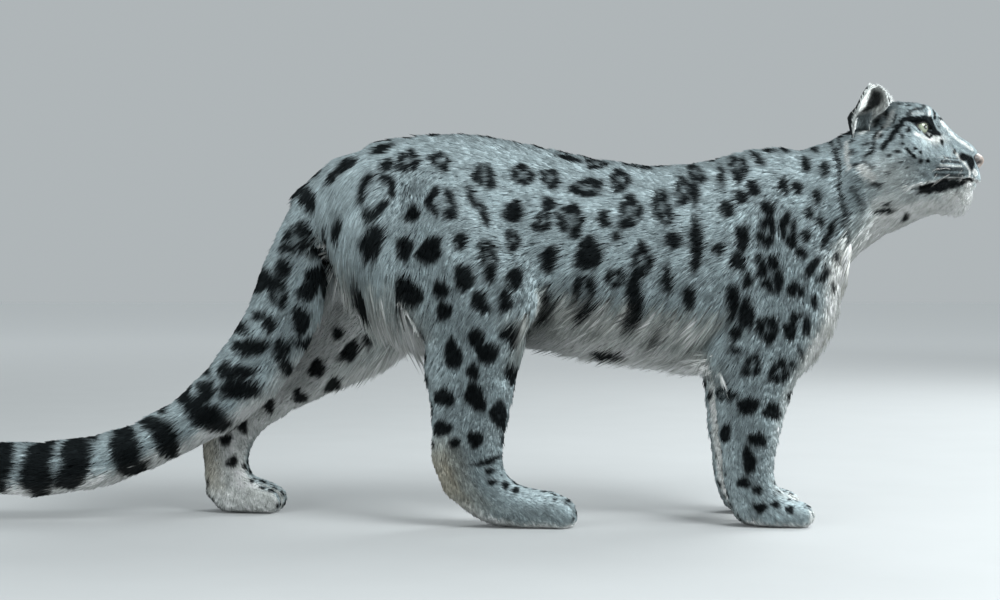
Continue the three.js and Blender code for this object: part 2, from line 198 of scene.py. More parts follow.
def tail_line():
    """The middle line of the tail from its root to its tip."""
    middles = [CENTRE[f"tail_{i}"] for i in range(1, 6)]
    root = middles[0] + (0.05, 0.008, 0.05)
    tip = np.array([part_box("tail_5")[0][0] + 0.035, middles[4][1], middles[4][2] + 0.008])
    return [(root, 0.05, 0.010)] + [(p, 0.048, 0.013) for p in middles] + [(tip, 0.04, 0.013)]


# Each line of the body: its points, each with the half breadth and the coat's depth there.
LINES = {
    "head": [
        (from_head((0.165, 0, 0.565)), 0.030, 0.0015),
        (from_head((0.12, 0, 0.565)), 0.048, 0.0022),
        (from_head((0.075, 0, 0.57)), 0.070, 0.0038),
        (from_head((0.03, 0, 0.565)), 0.085, 0.0075),
    ],
    "neck": [
        (from_head((-0.01, 0, 0.55)), 0.095, 0.010),
        (CENTRE["neck"] * (1, 0.5, 1) + (-0.03, 0, -0.01), 0.105, 0.012),
    ],
    "trunk": [
        (np.array([0.60, 0, 0.43]), 0.145, 0.012),
        (np.array([0.35, 0, 0.43]), 0.155, 0.010),
        (np.array([0.08, 0, 0.45]), 0.150, 0.010),
        (np.array([-0.11, 0, 0.50]), 0.115, 0.010),
    ],
    "tail": tail_line(),
    "fore_right": leg_line("fore", "right", (-0.03, 0.02, 0.09)),
    "fore_left": leg_line("fore", "left", (-0.03, -0.02, 0.09)),
    "hind_right": leg_line("hind", "right", (-0.03, 0.02, 0.09)),
    "hind_left": leg_line("hind", "left", (0.0, -0.02, 0.08)),
}


def line_blend(points):
    """How much each line of the body counts at each point, and what follows from that: the coat's
    depth, the way of the lines, and the place along and round the line that counts most. Each
    stretch counts by its distance over its half breadth, to a high negative power."""
    names = list(LINES)
    weight_of = {}
    depth = np.zeros(len(points))
    way = np.zeros((len(points), 3))
    total = np.zeros(len(points))
    best = np.full(len(points), np.inf)
    place = np.zeros((len(points), 3))
    for index, name in enumerate(names):
        run = 0.0
        weight_of[name] = np.zeros(len(points))
        for (a, ra, da), (b, rb, db) in zip(LINES[name], LINES[name][1:]):
            span = b - a
            length = np.linalg.norm(span)
            t = np.clip((points - a) @ span / length**2, 0, 1)
            off = points - (a + t[:, None] * span)
            near = np.linalg.norm(off, axis=1) / (ra + t * (rb - ra))
            held = np.maximum(near, 0.05)
            weight = held**-5
            weight_of[name] += weight
            depth += weight * (da + t * (db - da))
            way += (held**-3)[:, None] * span / length
            total += weight
            closer = near < best
            best = np.where(closer, near, best)
            level = abs(span[2]) < 0.8 * length
            above = unit(UP - span / length * (span[2] / length)) if level else ACROSS
            aside = np.cross(above, span / length)
            round_it = np.arctan2(off @ aside, off @ above)
            here = np.stack([np.full(len(points), index), run + t * length, round_it], 1)
            place = np.where(closer[:, None], here, place)
            run += length
    return {
        "weights": {name: w / total for name, w in weight_of.items()},
        "depth": depth / total,
        "way": unit(way),
        "place": place,
        "names": names,
    }


def main_line(blend):
    """The number of the line that counts most at each point."""
    return np.argmax(np.stack([blend["weights"][name] for name in blend["names"]]), 0)


# The skin's shape


class Field:
    """Numbers on an even grid, read anywhere by blending the eight around a point in straight
    lines."""

    def __init__(self, values, low, step):
        self.values = values
        self.low = np.asarray(low, float)
        self.step = step

    def at(self, points):
        """The value at each point."""
        place = (points - self.low) / self.step
        top = np.array(self.values.shape) - 2
        cell = np.clip(np.floor(place).astype(int), 0, top)
        f = np.clip(place - cell, 0, 1)
        found = np.zeros(len(points))
        for corner in np.ndindex(2, 2, 2):
            share = np.prod(np.where(corner, f, 1 - f), axis=1)
            i, j, k = (cell + corner).T
            found += share * self.values[i, j, k]
        return found

    def slope(self, points):
        """The slope at each point, from differences over one step."""
        reach = np.eye(3) * self.step
        return np.stack(
            [(self.at(points + r) - self.at(points - r)) / (2 * self.step) for r in reach], 1
        )

    def settle(self, points, levels, rounds=5, most=0.006):
        """Each point moved along the slope to where the field has that point's level."""
        for _ in range(rounds):
            slope = self.slope(points)
            square = np.maximum(dot(slope, slope), 0.2)
            push = np.clip((levels - self.at(points)) / square, -most, most)
            points = points + slope * push[:, None]
        return points


GRID_STEP = 0.0035
GRID_LOW = np.array([-260, -54, -10])
GRID_HIGH = np.array([260, 55, 208])
CUTS_CLOSED = 0.0004  # how far out the outline is taken, which closes the cuts between solids
BROAD_BLUR = 2.4  # in steps of the grid, on the body
FINE_BLUR = 0.9  # on the head and paws


def blurred(values, sigma):
    """The numbers after a bell-shaped blur along each axis in turn, sigma in grid steps."""
    reach = int(math.ceil(2.6 * sigma))
    taps = np.exp(-0.5 * (np.arange(-reach, reach + 1) / sigma) ** 2)
    taps = (taps / taps.sum()).astype(np.float32)
    for axis in range(3):
        edges = [(reach, reach) if k == axis else (0, 0) for k in range(3)]
        padded = np.pad(values, edges, mode="edge")
        length = values.shape[axis]
        views = (np.take(padded, range(i, i + length), axis) for i in range(len(taps)))
        values = sum(tap * view for tap, view in zip(taps, views))
    return values


def body_field():
    """Distance to the outline of the flesh, eyes and nose as one body, smoothed broadly on the
    body and finely on the head and paws. Inside is negative. The thin cuts are closed by taking
    the outline a fraction of a millimetre out before the distance is measured."""
    scale = openvdb.createLinearTransform(voxelSize=GRID_STEP)
    points, triangles, count = [], [], 0
    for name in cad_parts:
        if name not in EARS:
            p, t = SHELLS[name]
            points.append(p)
            triangles.append(t + count)
            count += len(p)
    parted = openvdb.FloatGrid.createLevelSetFromPolygons(
        np.concatenate(points),
        triangles=np.concatenate(triangles).astype(np.int32),
        transform=scale,
        halfWidth=3.0,
    )
    p, t, q = parted.convertToPolygons(isovalue=CUTS_CLOSED)
    whole = openvdb.FloatGrid.createLevelSetFromPolygons(
        p.astype(float), triangles=t.astype(np.int32), quads=q.astype(np.int32),
        transform=scale, halfWidth=14.0,
    )
    values = np.empty(tuple(GRID_HIGH - GRID_LOW), np.float32)
    whole.copyToArray(values, tuple(int(i) for i in GRID_LOW))
    x, y, z = (
        (np.arange(low, high) * GRID_STEP).reshape([-1 if k == axis else 1 for k in range(3)])
        for axis, (low, high) in enumerate(zip(GRID_LOW, GRID_HIGH))
    )
    ahead = (x - PIVOT[0]) * AHEAD[0] + (y - PIVOT[1]) * AHEAD[1]
    head = ramp(0.02, 0.07, ahead) * ramp(0.40, 0.46, z)
    fine = np.maximum(head, ramp(0.09, 0.05, z) * (x > -0.42))
    broad = blurred(values, BROAD_BLUR)
    close = blurred(values, FINE_BLUR)
    values = (broad * (1 - fine) + close * fine).astype(np.float32)
    return Field(values, GRID_LOW * GRID_STEP, GRID_STEP)


def crosses_of(points, triangles):
    """Each triangle's normal, twice as long as its area."""
    a, b, c = (points[triangles[:, k]] for k in range(3))
    return np.cross(b - a, c - a)


def turned_outwards(points, triangles, inside=0.0):
    """The triangles of a closed surface, all turned round if the volume that they and a point
    inside enclose is negative."""
    a, b, c = (points[triangles[:, k]] - inside for k in range(3))
    return triangles[:, ::-1] if dot(a, np.cross(b, c)).sum() < 0 else triangles


def normals_of(points, triangles):
    """Each point's normal: its triangles' normals added up by area."""
    face = crosses_of(points, triangles)
    total = np.zeros_like(points)
    for k in range(3):
        for axis in range(3):
            total[:, axis] += np.bincount(triangles[:, k], face[:, axis], len(points))
    return unit(total)


def split_faces(mesh_data, chosen):
    """Cuts in four those faces of a mesh whose middles are chosen."""
    bm = bmesh.new()
    bm.from_mesh(mesh_data)
    middles = np.array([f.calc_center_median() for f in bm.faces])
    wanted = chosen(middles)
    edges = {edge for face, yes in zip(bm.faces, wanted) if yes for edge in face.edges}
    bmesh.ops.subdivide_edges(bm, edges=list(edges), cuts=1, use_grid_fill=True)
    bm.to_mesh(mesh_data)
    bm.free()


def on_head(points):
    """Whether each point is on the head."""
    u, _, w = in_head(points).T
    return (u > -0.045) & (w > 0.45)


PAWS = ("fore_paw_right", "fore_paw_left", "hind_paw_right", "hind_paw_left")
TOE_LENGTH = 0.052
TOE_PITCH = 0.022  # from the middle of one groove between toes to the next
TOE_GROOVE = 0.0032  # the groove's half breadth
TOE_DEPTH = 0.0070


def toe_share(points, paw):
    """How much each point is on a paw's toes, 0 to 1."""
    low, high = (np.array(corner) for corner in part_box(paw))
    x, y, z = points.T
    ahead = ramp(high[0] - TOE_LENGTH, high[0] - 0.6 * TOE_LENGTH, x) * (x < high[0] + 0.01)
    beside = np.abs(y - (low[1] + high[1]) / 2) < 0.06
    return ahead * beside * ramp(0.058, 0.044, z)


def on_toes(points):
    """Whether each point is on some toes."""
    return sum(toe_share(points, paw) for paw in PAWS) > 0.01


def toe_grooves(points):
    """How deep in the grooves between toes each point is, 0 to 1: a bell about each groove."""
    deep = np.zeros(len(points))
    for paw in PAWS:
        low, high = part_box(paw)
        for k in (-1, 0, 1):
            off = points[:, 1] - (low[1] + high[1]) / 2 - k * TOE_PITCH
            deep += toe_share(points, paw) * bell(off, TOE_GROOVE)
    return deep


COARSER = 2  # steps of the grid for each face of the starting surface
INSET = 0.003  # how far inside the outline it lies
PAWS_BELOW = 0.055  # the height under which it is finer
MUZZLE_FROM = 0.060  # how far ahead in the head it is finer still


def first_skin(field):
    """A closed starting surface a little inside the outline, finer on the head and paws."""
    coarse = np.ascontiguousarray(field.values[::COARSER, ::COARSER, ::COARSER])
    grid = openvdb.FloatGrid(float(coarse.max()))
    grid.copyFromArray(coarse)
    grid.transform = openvdb.createLinearTransform(voxelSize=COARSER * GRID_STEP)
    points, quads = grid.convertToQuads(isovalue=-INSET)
    points = points.astype(float) + field.low
    mesh = bpy.data.meshes.new("start")
    mesh.from_pydata(points.tolist(), [], quads.tolist())
    split_faces(mesh, lambda m: on_head(m) | (m[:, 2] < PAWS_BELOW))
    split_faces(mesh, lambda m: on_head(m) & (in_head(m)[:, 0] > MUZZLE_FROM) | on_toes(m))
    bm = bmesh.new()
    bm.from_mesh(mesh)
    bmesh.ops.triangulate(bm, faces=bm.faces)
    points = np.array([v.co for v in bm.verts])
    triangles = np.array([[v.index for v in f.verts] for f in bm.faces])
    bm.free()
    bpy.data.meshes.remove(mesh)
    return points, turned_outwards(points, triangles)


EYE_RADIUS = 0.0132
EYE_OUTWARD = 0.66  # the eye's gaze, from straight ahead towards its own side
EYE_DOWNWARD = 0.10
EYE_SLANT = 0.30  # the inner corner is lower than the outer one
OPENING = (0.0120, 0.0082)  # half the opening's length and height
PUPIL_OUTWARD = 0.715  # where the pupil looks, from straight ahead towards its own side
PUPIL_UPWARD = 0.045
CORNEA = 0.0011  # how far the ball bulges over the pupil
CORNEA_REACH = 0.5
EYE_GRID = (40, 48)
LID_THICK = 0.0016
LID_ROLL = 0.0012  # how much thicker the lid is at its edge
BEHIND_LIDS = 0.0040  # how far inside the ball's surface the skin goes in the opening
LID_NARROWS = 0.25  # how much lower the opening is at its corners


def eye_axes(side):
    """An eye's middle, its gaze, the way to its outer corner and the way up."""
    low, high = (np.array(corner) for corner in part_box(f"eye_{side}"))
    middle = (low + high) / 2
    beside = SIDES[side] * math.sin(EYE_OUTWARD)
    gaze = unit(math.cos(EYE_OUTWARD) * AHEAD + beside * LEFT - EYE_DOWNWARD * UP)
    outer = unit(SIDES[side] * np.cross(UP, gaze))
    upper = unit(UP - (UP @ gaze) * gaze)
    slant = math.cos(EYE_SLANT), math.sin(EYE_SLANT)
    return middle, gaze, slant[0] * outer + slant[1] * upper, slant[0] * upper - slant[1] * outer


def opening_at(points, side):
    """For each point, its distance from the eye's middle, and a number that is below 1 inside the
    opening between the lids and above 1 outside it."""
    middle, gaze, outer, upper = eye_axes(side)
    away = points - middle
    distance = np.linalg.norm(away, axis=1)
    way = away / np.maximum(distance, 1e-9)[:, None]
    s, t, g = way @ outer, way @ upper, way @ gaze
    long, high = OPENING
    across = np.abs(s) * EYE_RADIUS / long
    narrowed = 1 - LID_NARROWS * np.minimum(across, 1) ** 2
    over = np.abs(t) * EYE_RADIUS / (high * narrowed)
    number = np.sqrt(across**2 + over**2)
    return distance, np.where(g > 0, number, 9.0)


def around_eyes(points):
    """The points near each eye moved to make its lids: outside the opening they stay over the
    ball, and inside it they go behind the ball's surface."""
    for side in SIDES:
        middle = eye_axes(side)[0]
        distance, number = opening_at(points, side)
        near = (distance < 0.030) & (number < 6)
        lid = EYE_RADIUS + LID_THICK + LID_ROLL * ramp(2.2, 1.2, number)
        raised = np.maximum(distance, lid)
        goal = mix(EYE_RADIUS - BEHIND_LIDS, raised, ramp(0.92, 1.12, number))
        goal = np.where(near, goal, distance)
        share = np.where(near, ramp(3.2, 2.4, number), 0)
        goal = distance + (goal - distance) * share
        points = middle + (points - middle) * (goal / np.maximum(distance, 1e-9))[:, None]
    return points


# Forms pressed into or raised from the face, for both sides: where each is centred (ahead,
# side, height), how far it reaches, and how far it moves the skin along its own normal.
FACE_FORMS = (
    ((0.106, 0.024, 0.620), (0.014, 0.008, 0.012), -0.0028),  # hollow beside the bridge
    ((0.096, 0.048, 0.599), (0.014, 0.012, 0.005), -0.0014),  # fold below the eye
    ((0.092, 0.034, 0.647), (0.018, 0.016, 0.009), 0.0055),  # brow
    ((0.152, 0.023, 0.550), (0.015, 0.012, 0.012), 0.0060),  # whisker pad
    ((0.128, 0.040, 0.552), (0.016, 0.014, 0.014), 0.0020),  # back of the whisker pad
    ((0.150, 0.026, 0.574), (0.016, 0.009, 0.005), -0.0026),  # above the whisker pad
    ((0.115, 0.000, 0.640), (0.030, 0.0045, 0.024), -0.0016),  # furrow of the brow
    ((0.168, 0.014, 0.545), (0.011, 0.011, 0.012), 0.0055),  # front of the whisker pad
    ((0.162, 0.000, 0.509), (0.020, 0.024, 0.016), 0.0050),  # chin
    ((0.160, 0.000, 0.530), (0.016, 0.030, 0.004), -0.0020),  # under the lower lip
    ((0.004, 0.064, 0.612), (0.030, 0.026, 0.026), 0.0050),  # base of the ear
    ((0.006, 0.085, 0.555), (0.026, 0.030, 0.040), 0.0070),  # ruff of the cheek
    ((-0.024, 0.090, 0.555), (0.012, 0.035, 0.050), -0.0060),  # crease behind the ruff
)
NOSE_MIDDLE = np.array([0.160, 0, 0.5685])  # of the nose leather, in the head's own places
NOSE_HALF = np.array([0.0205, 0.0178, 0.0148])
NOSE_WING = 0.68  # the bare skin behind its middle counts as this much nearer
NOSE_EDGE = 0.1465  # how far ahead the fur reaches beside the nose's middle
NOSE_EDGE_SLOPE = -0.78  # and how that changes with height
NOSE_TOP = 0.577  # above this height the fur reaches on over the nose
NOSE_TOP_EDGE = 0.172  # as far as this
NOSE_BED = 0.55  # the skin under the leather, as a share of the leather's size
CLEFT = np.array([[0.182, 0, 0.556], [0.174, 0, 0.545], [0.170, 0, 0.537]])  # below the nose
# The groove along the lips and along the cleft: its depth and half breadth.
LIP_GROOVE = (0.0040, 0.0026)
CLEFT_GROOVE = (0.0075, 0.0028)
LIP_SWELL = (0.0015, 0.006, 0.004)  # over the lips: its height, how far off it is and its reach


def shaped_face(points, triangles, lips):
    """The small forms of the face and paws: each form a bell-shaped press along the normal, a
    groove along the lips and below the nose, a bed for the nose, the toes and the lids."""
    normals = normals_of(points, triangles)
    place = folded(points)
    shift = np.zeros(len(points))
    for centre, reach, height in FACE_FORMS:
        shift += height * form(place, centre, reach)
    off, above = from_stroke(place, lips)
    shift -= LIP_GROOVE[0] * bell(off, LIP_GROOVE[1])
    shift += LIP_SWELL[0] * bell(off - LIP_SWELL[1], LIP_SWELL[2]) * (above > 0)
    off, _ = from_stroke(place, CLEFT)
    shift -= CLEFT_GROOVE[0] * bell(off, CLEFT_GROOVE[1])
    shift *= ramp(-0.062, -0.045, place[:, 0])
    shift -= TOE_DEPTH * toe_grooves(points)
    points = points + normals * shift[:, None]
    share, number = nose_share(points)
    share = share * ramp(1.10, 1.02, number)
    middle = from_head(NOSE_MIDDLE)
    goal = np.minimum(NOSE_BED / np.maximum(number, 0.1), 1.0)
    points = middle + (points - middle) * (1 - share * (1 - goal))[:, None]
    return around_eyes(points)


def nose_share(points):
    """How much each point belongs under the nose leather, 0 to 1, and its distance from the
    leather's middle over the leather's half sizes."""
    place = in_head(points)
    away = (place - NOSE_MIDDLE) / NOSE_HALF
    away[:, 0] *= np.where(away[:, 0] < 0, NOSE_WING, 1)
    number = np.linalg.norm(away, axis=1)
    edge = NOSE_EDGE + NOSE_EDGE_SLOPE * (place[:, 2] - NOSE_MIDDLE[2])
    edge += (NOSE_TOP_EDGE - edge) * ramp(NOSE_TOP - 0.002, NOSE_TOP + 0.002, place[:, 2])
    ahead = ramp(-0.002, 0.002, place[:, 0] - edge)
    return ahead * ramp(1.24, 1.12, number), number


def from_stroke(places, stroke):
    """Each place's distance from a bent line through some points, and how far it is above it."""
    best = np.full(len(places), np.inf)
    above = np.zeros(len(places))
    for a, b in zip(stroke, stroke[1:]):
        span = b - a
        t = np.clip((places - a) @ span / max(span @ span, 1e-12), 0, 1)
        off = places - (a + t[:, None] * span)
        distance = np.linalg.norm(off, axis=1)
        above = np.where(distance < best, off[:, 2], above)
        best = np.minimum(best, distance)
    return best, above


# Markings, by their places in the picture: x, y, half length and half height, and for some their
# tilt, and that they are rings. All others are level spots.

RUMP = (
    (378, 194, 19, 20, 0, "ring"), (409, 163, 12, 11, 0, "ring"), (441, 163, 11, 9, 0, "ring"),
    (388, 167, 6, 6), (413, 215, 7, 7), (442, 204, 16, 15, 0, "ring"), (375, 237, 11, 12, -20),
    (363, 265, 8, 10), (405, 249, 7, 13), (430, 251, 11, 13, -20), (461, 242, 6, 9),
    (488, 259, 10, 19, 10, "ring"), (512, 242, 9, 10, 0, "ring"), (472, 200, 4, 12, 15),
    (484, 217, 4, 11, 10), (464, 278, 8, 14, 10), (441, 289, 7, 9), (410, 291, 10, 14, 20),
    (445, 310, 8, 8), (480, 303, 8, 11, 20), (505, 301, 6, 11, 10), (514, 279, 7, 11),
    (510, 330, 8, 9), (477, 338, 8, 10), (487, 352, 10, 11, 10), (343, 218, 3.5, 13),
    (454, 354, 8, 14, 15), (511, 369, 6, 10), (445, 397, 8, 9), (475, 397, 9, 13, 10),
    (498, 414, 7, 12), (443, 428, 8, 7), (475, 439, 8, 7), (455, 443, 5, 5), (488, 461, 12, 3, 15),
    (489, 471, 4, 3), (508, 473, 4, 3), (522, 480, 4, 3), (492, 483, 4, 3), (505, 486, 4, 3),
    (515, 491, 4, 3), (424, 330, 6, 9), (424, 372, 6, 9), (473, 372, 6, 8),
)
BACK = (
    (352, 163, 10, 4.5, 30), (338, 173, 7, 4, 35), (384, 152, 9, 4.5, 12), (385, 145, 9, 5, 10),
    (412, 142, 9, 4), (437, 139, 9, 4), (463, 139, 9, 4), (489, 141, 9, 4), (515, 145, 9, 4, -5),
    (541, 150, 9, 4, -10), (566, 156, 9, 4, -10), (592, 163, 9, 4, -10),
    (485, 178, 12, 12, 0, "ring"), (523, 177, 12, 10, 0, "ring"), (551, 180, 11, 9, 0, "ring"),
    (588, 190, 17, 9, -5, "ring"), (621, 183, 11, 9, 0, "ring"), (598, 168, 13, 6, -10, "ring"),
    (638, 171, 14, 7, -15, "ring"), (570, 163, 12, 3, -22), (665, 170, 9, 3.5, 8),
    (694, 162, 6, 3.5, 15), (716, 160, 7, 4, 20),
)
FLANK = (
    (514, 213, 10, 10), (571, 221, 15, 15, 0, "ring"), (589, 254, 13, 14, 20),
    (549, 259, 9, 12, -25), (604, 220, 6, 8), (617, 237, 4, 5), (631, 213, 13, 14, 0, "ring"),
    (663, 209, 10, 17, 0, "ring"), (685, 192, 10, 13, 0, "ring"), (698, 176, 8, 12, 25, "ring"),
    (642, 261, 12, 16, 0, "ring"), (673, 242, 7, 9), (696, 245, 7, 24),
    (585, 291, 13, 12, 0, "ring"), (634, 299, 9, 15, 10), (615, 278, 10, 11, 0, "ring"),
    (667, 280, 5, 14, 10), (614, 334, 14, 6, -15), (659, 322, 3.5, 9), (689, 297, 7, 10),
    (543, 222, 10, 11, 0, "ring"), (545, 296, 9, 11, 0, "ring"), (549, 205, 6, 7),
)
SHOULDER = (
    (696, 195, 5, 10), (727, 211, 6, 9), (723, 178, 4, 10), (740, 169, 10, 13, 0, "ring"),
    (759, 161, 4, 8, 20), (772, 156, 5, 4), (787, 155, 4, 5), (741, 199, 6, 7), (753, 190, 6, 8),
    # (741, 240), (737, 263), (732, 300), (746, 314) and (736, 333) are painted shadow: dark marks
    # over the shade behind the shoulder and elbow.
    (767, 210, 6, 8, 20), (718, 250, 5, 6), (741, 240, 6, 15), (737, 263, 8, 8), (757, 259, 4, 4),
    (766, 234, 9, 15, 0, "ring"), (788, 231, 9, 17, 0, "ring"), (805, 237, 5, 5), (808, 214, 5, 5),
    (819, 223, 4, 5), (830, 230, 4, 8, -20), (823, 243, 3, 6, -25), (834, 257, 3, 5, -20),
    (800, 254, 5, 6, 20), (811, 268, 4, 12, -30), (819, 279, 4, 4), (824, 272, 3, 5),
    (830, 285, 2, 4), (770, 275, 12, 19, 0, "ring"), (792, 290, 5, 8), (800, 292, 3, 6),
    (813, 302, 3, 6), (747, 281, 5, 7), (732, 300, 7, 15), (746, 314, 7, 16), (736, 333, 6, 7),
    (767, 329, 12, 12, 0, "ring"), (795, 317, 5, 5), (789, 330, 7, 8), (805, 326, 4, 9),
    (799, 350, 2, 6, 30), (736, 350, 6, 4), (718, 364, 7, 4, 30), (752, 366, 9, 12, 0, "ring"),
    (778, 371, 10, 11, 0, "ring"), (791, 362, 3, 4), (725, 393, 9, 8, 0, "ring"), (748, 406, 9, 9),
    (771, 411, 8, 8), (786, 393, 4, 4), (727, 433, 4, 9), (749, 461, 6, 12, 15), (757, 440, 8, 7),
    (772, 457, 3, 8), (744, 483, 6, 5), (757, 490, 5, 4), (716, 470, 4, 10), (797, 190, 5, 7),
    (807, 167, 5, 8), (817, 198, 4, 8), (826, 171, 4, 7), (818, 154, 4, 4), (783, 188, 5, 8),
    # (760, 508) is painted shadow: a dark mark for the shade on the fore paw.
    (775, 505, 4, 3), (790, 510, 4, 3), (760, 508, 7, 4),
)
TAIL = (
    (322, 171, 9, 5, 30), (313, 196, 8, 10, -20), (297, 240, 12, 16, -10, "ring"),
    (329, 228, 4, 14), (273, 253, 6, 7), (285, 268, 6, 10), (280, 294, 10, 13, 0, "ring"),
    (315, 275, 8, 9), (306, 291, 9, 8, 20), (300, 318, 8, 11), (262, 315, 6, 5), (271, 324, 7, 7),
    (252, 347, 14, 9), (282, 345, 8, 6, -30), (285, 362, 6, 11, 35), (228, 350, 8, 4),
    (240, 388, 17, 9, 10), (229, 372, 7, 9), (245, 371, 9, 7), (208, 390, 9, 8), (196, 407, 10, 9),
    (212, 416, 17, 11), (268, 404, 6, 7), (126, 447, 12, 21), (141, 464, 10, 5, 10),
    (157, 425, 14, 6, -15), (168, 440, 12, 13), (39, 470, 14, 22, -15), (51, 449, 9, 8),
    (78, 453, 13, 15), (72, 474, 13, 10), (48, 491, 10, 7), (2, 465, 10, 26),
)
FAR_LEGS = (
    (338, 333, 5, 7), (350, 350, 7, 11, -30), (317, 368, 8, 8), (334, 381, 9, 5),
    (300, 395, 6, 6, 30), (242, 425, 5, 8), (226, 440, 5, 6), (232, 462, 5, 5),
)
FACE = (
    (910, 131, 1.8, 3.0, -35), (904, 137, 1.8, 1.8), (904, 144, 1.8, 1.6), (899, 152, 2.4, 1.8),
    (892, 156, 2.0, 1.5, 20), (916, 149, 1.5, 1.5), (921, 153, 1.9, 1.4), (921, 161, 1.9, 1.5),
    (928, 161, 1.9, 1.5), (902, 162, 1.6, 1.1), (908, 167, 1.2, 1.1), (890, 172, 1.8, 1.5),
    (942, 143, 1.9, 2.4), (955, 152, 1.4, 2.4), (887, 147, 1.6, 2.6, -40),
    (878, 183, 5.5, 2.4, -10), (890, 198, 3.6, 2.0, 10), (888, 204, 10, 2.6), (908, 209, 3.2, 4.5),
    (870, 145, 2.8, 1.6), (856, 145, 2.4, 1.6), (854, 155, 2.6, 1.8), (868, 156, 3, 1.6, 25),
    # (965, 158) and (971, 162) are the dark patch beside the nose: partly dark skin and partly
    # painted shadow.
    (857, 167, 3, 1.8), (965, 158, 6, 2.8, -12), (971, 162, 3.8, 5.5), (934, 133.5, 6, 3),
    (852, 131, 8, 11), (891, 115, 3.6, 2.6, 30), (883, 121, 4, 2, 40),
)
# The rows of whiskers, each by its first and last place in the picture, and those of the brow.
WHISKER_ROWS = (
    (945, 158, 957, 159), (942, 162, 960, 163), (939, 169, 962, 170), (937, 174, 962, 175),
)
BROW_WHISKERS = ((925, 114), (919, 115), (930, 115))

# Strokes on the face: half breadth, how dark, then the points along it.
FACE_STROKES = (
    (2.1, 1.0, ((903, 127.5), (905, 121.5), (911, 120.5), (918, 121), (924, 120.5), (930, 121))),
    (1.8, 1.0, ((930, 121), (933, 126), (935, 131), (937, 135))),
    (1.6, 1.0, ((929, 134.5), (939, 135.5))),
    (1.9, 1.0, ((901, 130), (896, 136), (891, 142), (886, 149))),
    (1.7, 1.0, ((886, 130), (880, 137), (877, 145), (874, 153))),
    (1.3, 0.9, ((880, 122), (879, 130))),
    (1.3, 0.8, ((864, 163), (870, 165), (875, 168))),
    (1.5, 0.9, ((912, 113.5), (910, 119))),
    (1.2, 0.8, ((914, 112), (920, 111))),
    (1.2, 0.8, ((923, 111), (925, 109))),
    (1.4, 1.0, ((934, 114), (934.5, 120))),
    (1.3, 0.9, ((901, 115), (897, 123))),
    (1.4, 1.0, ((908, 150), (915, 157))),
    (2.0, 0.9, ((853, 189), (858, 197), (863, 205))),
    (1.4, 0.9, ((842.5, 144), (843, 151))),
    (1.2, 0.75, ((942, 161.5), (950, 161.5), (959, 162.5))),
    (1.5, 0.75, ((938, 169), (950, 169), (962, 169.5))),
    (1.3, 0.75, ((936, 174.5), (950, 174.5), (963, 175))),
    (2.4, 1.0, ((835, 145), (838, 158), (840, 175), (839, 190), (842, 203), (846, 213))),
    (2.4, 0.9, ((846, 213), (844, 223), (848, 240))),
)
# Pale strokes in the same way: the whisker pad's edge, the chin, below the eye, the brow, the
# ruff, the cheek, the forehead, and a painted highlight along the bridge.
PALE_STROKES = (
    (0.9, 1.0, ((956, 153), (960, 158), (966, 165), (970, 171), (969, 176), (965, 180))),
    (0.7, 0.8, ((940, 165), (962, 166.5))),
    (2.6, 1.0, ((974.5, 172), (975, 186))),
    (2.4, 1.0, ((967, 187), (969, 195), (966, 206))),
    (1.3, 1.0, ((916, 135), (926, 139.5), (938, 141))),
    (1.3, 0.9, ((929, 110), (929, 118))),
    (2.0, 0.8, ((851, 145), (849, 156), (851, 170))),
    (4.0, 0.9, ((863, 171), (873, 177))),
    (1.2, 0.4, ((914, 116), (924, 115.5))),
    (2.2, 0.6, ((864, 138), (876, 127), (888, 113))),
    (1.8, 0.6, ((882, 139), (889, 128), (898, 112))),
    # A painted highlight along the top of the bridge.
    (1.6, 0.8, ((941, 124), (950, 134), (962, 143), (972, 150))),
)
# The dark skin of the lips, with the painted shadow under the upper lip.
LIPS_AND_LIP_SHADOW = (
    (928, 186.5, 10, 5.0, -5), (941, 184.5, 9, 6.5), (951, 183.5, 9, 4, 8),
    (961, 182.5, 7, 2.4, 10),
)
# The line between the lips, from the mouth's corner forwards.
MOUTH = ((917, 184), (928, 183.5), (940, 181), (952, 179.5), (962, 179), (969, 178.5))
LIP_BREADTH = 1.7  # half the breadth of the dark line, in pixels of the picture
LIP_HALF = 0.0016  # half the bare line between the lips
LEAST_TURNED = 0.5  # a mark seen at a slant is stretched by at most one over this
# How much larger marks and strokes are than traced, because pale hairs lie over their edges.
BOLDNESS = {"spot": 1.12, "ring": 1.04}
STROKES_BOLDER = 1.4
# The waves of a mark's edge: how many go round it, their height, and their shift by its seed.
EDGE_WAVES = ((2, 0.10, 1), (3, 0.09, 2.3), (5, 0.05, 4.1))
EDGE_SOFT = 0.0022  # how wide a mark's edge is
STROKE_SOFT = 0.0009  # half that of a stroke
RING_BREADTH = 0.0145


class Sights:
    """Finds the skin's points that pixels of the picture show."""

    def __init__(self, points, triangles):
        self.tree = BVHTree.FromPolygons(points.tolist(), triangles.tolist())

    def point(self, x, y):
        """The first point of the skin on the line of sight, with its normal, or the nearest point
        to that line if it misses. Over an eye it is on a ball as large as the lids."""
        way = sight(x, y)
        place, normal, _, _ = self.tree.ray_cast(CAMERA.tolist(), way.tolist())
        if place is None:
            target = CAMERA + way * (-CAMERA[1] / way[1])
            place, normal, _, _ = self.tree.find_nearest(target.tolist())
        place, normal = np.array(place), np.array(normal)
        for side in SIDES:
            middle = eye_axes(side)[0]
            along = (middle - CAMERA) @ way
            beside = np.linalg.norm(CAMERA + way * along - middle)
            lid = EYE_RADIUS + 0.002
            over_it = beside < lid and np.linalg.norm(place - middle) < lid + 0.001
            if over_it:
                place = CAMERA + way * (along - math.sqrt(lid**2 - beside**2))
                normal = unit(place - middle)
        return place, normal

    def nearest(self, point):
        """The skin's nearest point to a point, with its normal."""
        place, normal, _, _ = self.tree.find_nearest(point.tolist())
        return np.array(place), np.array(normal)


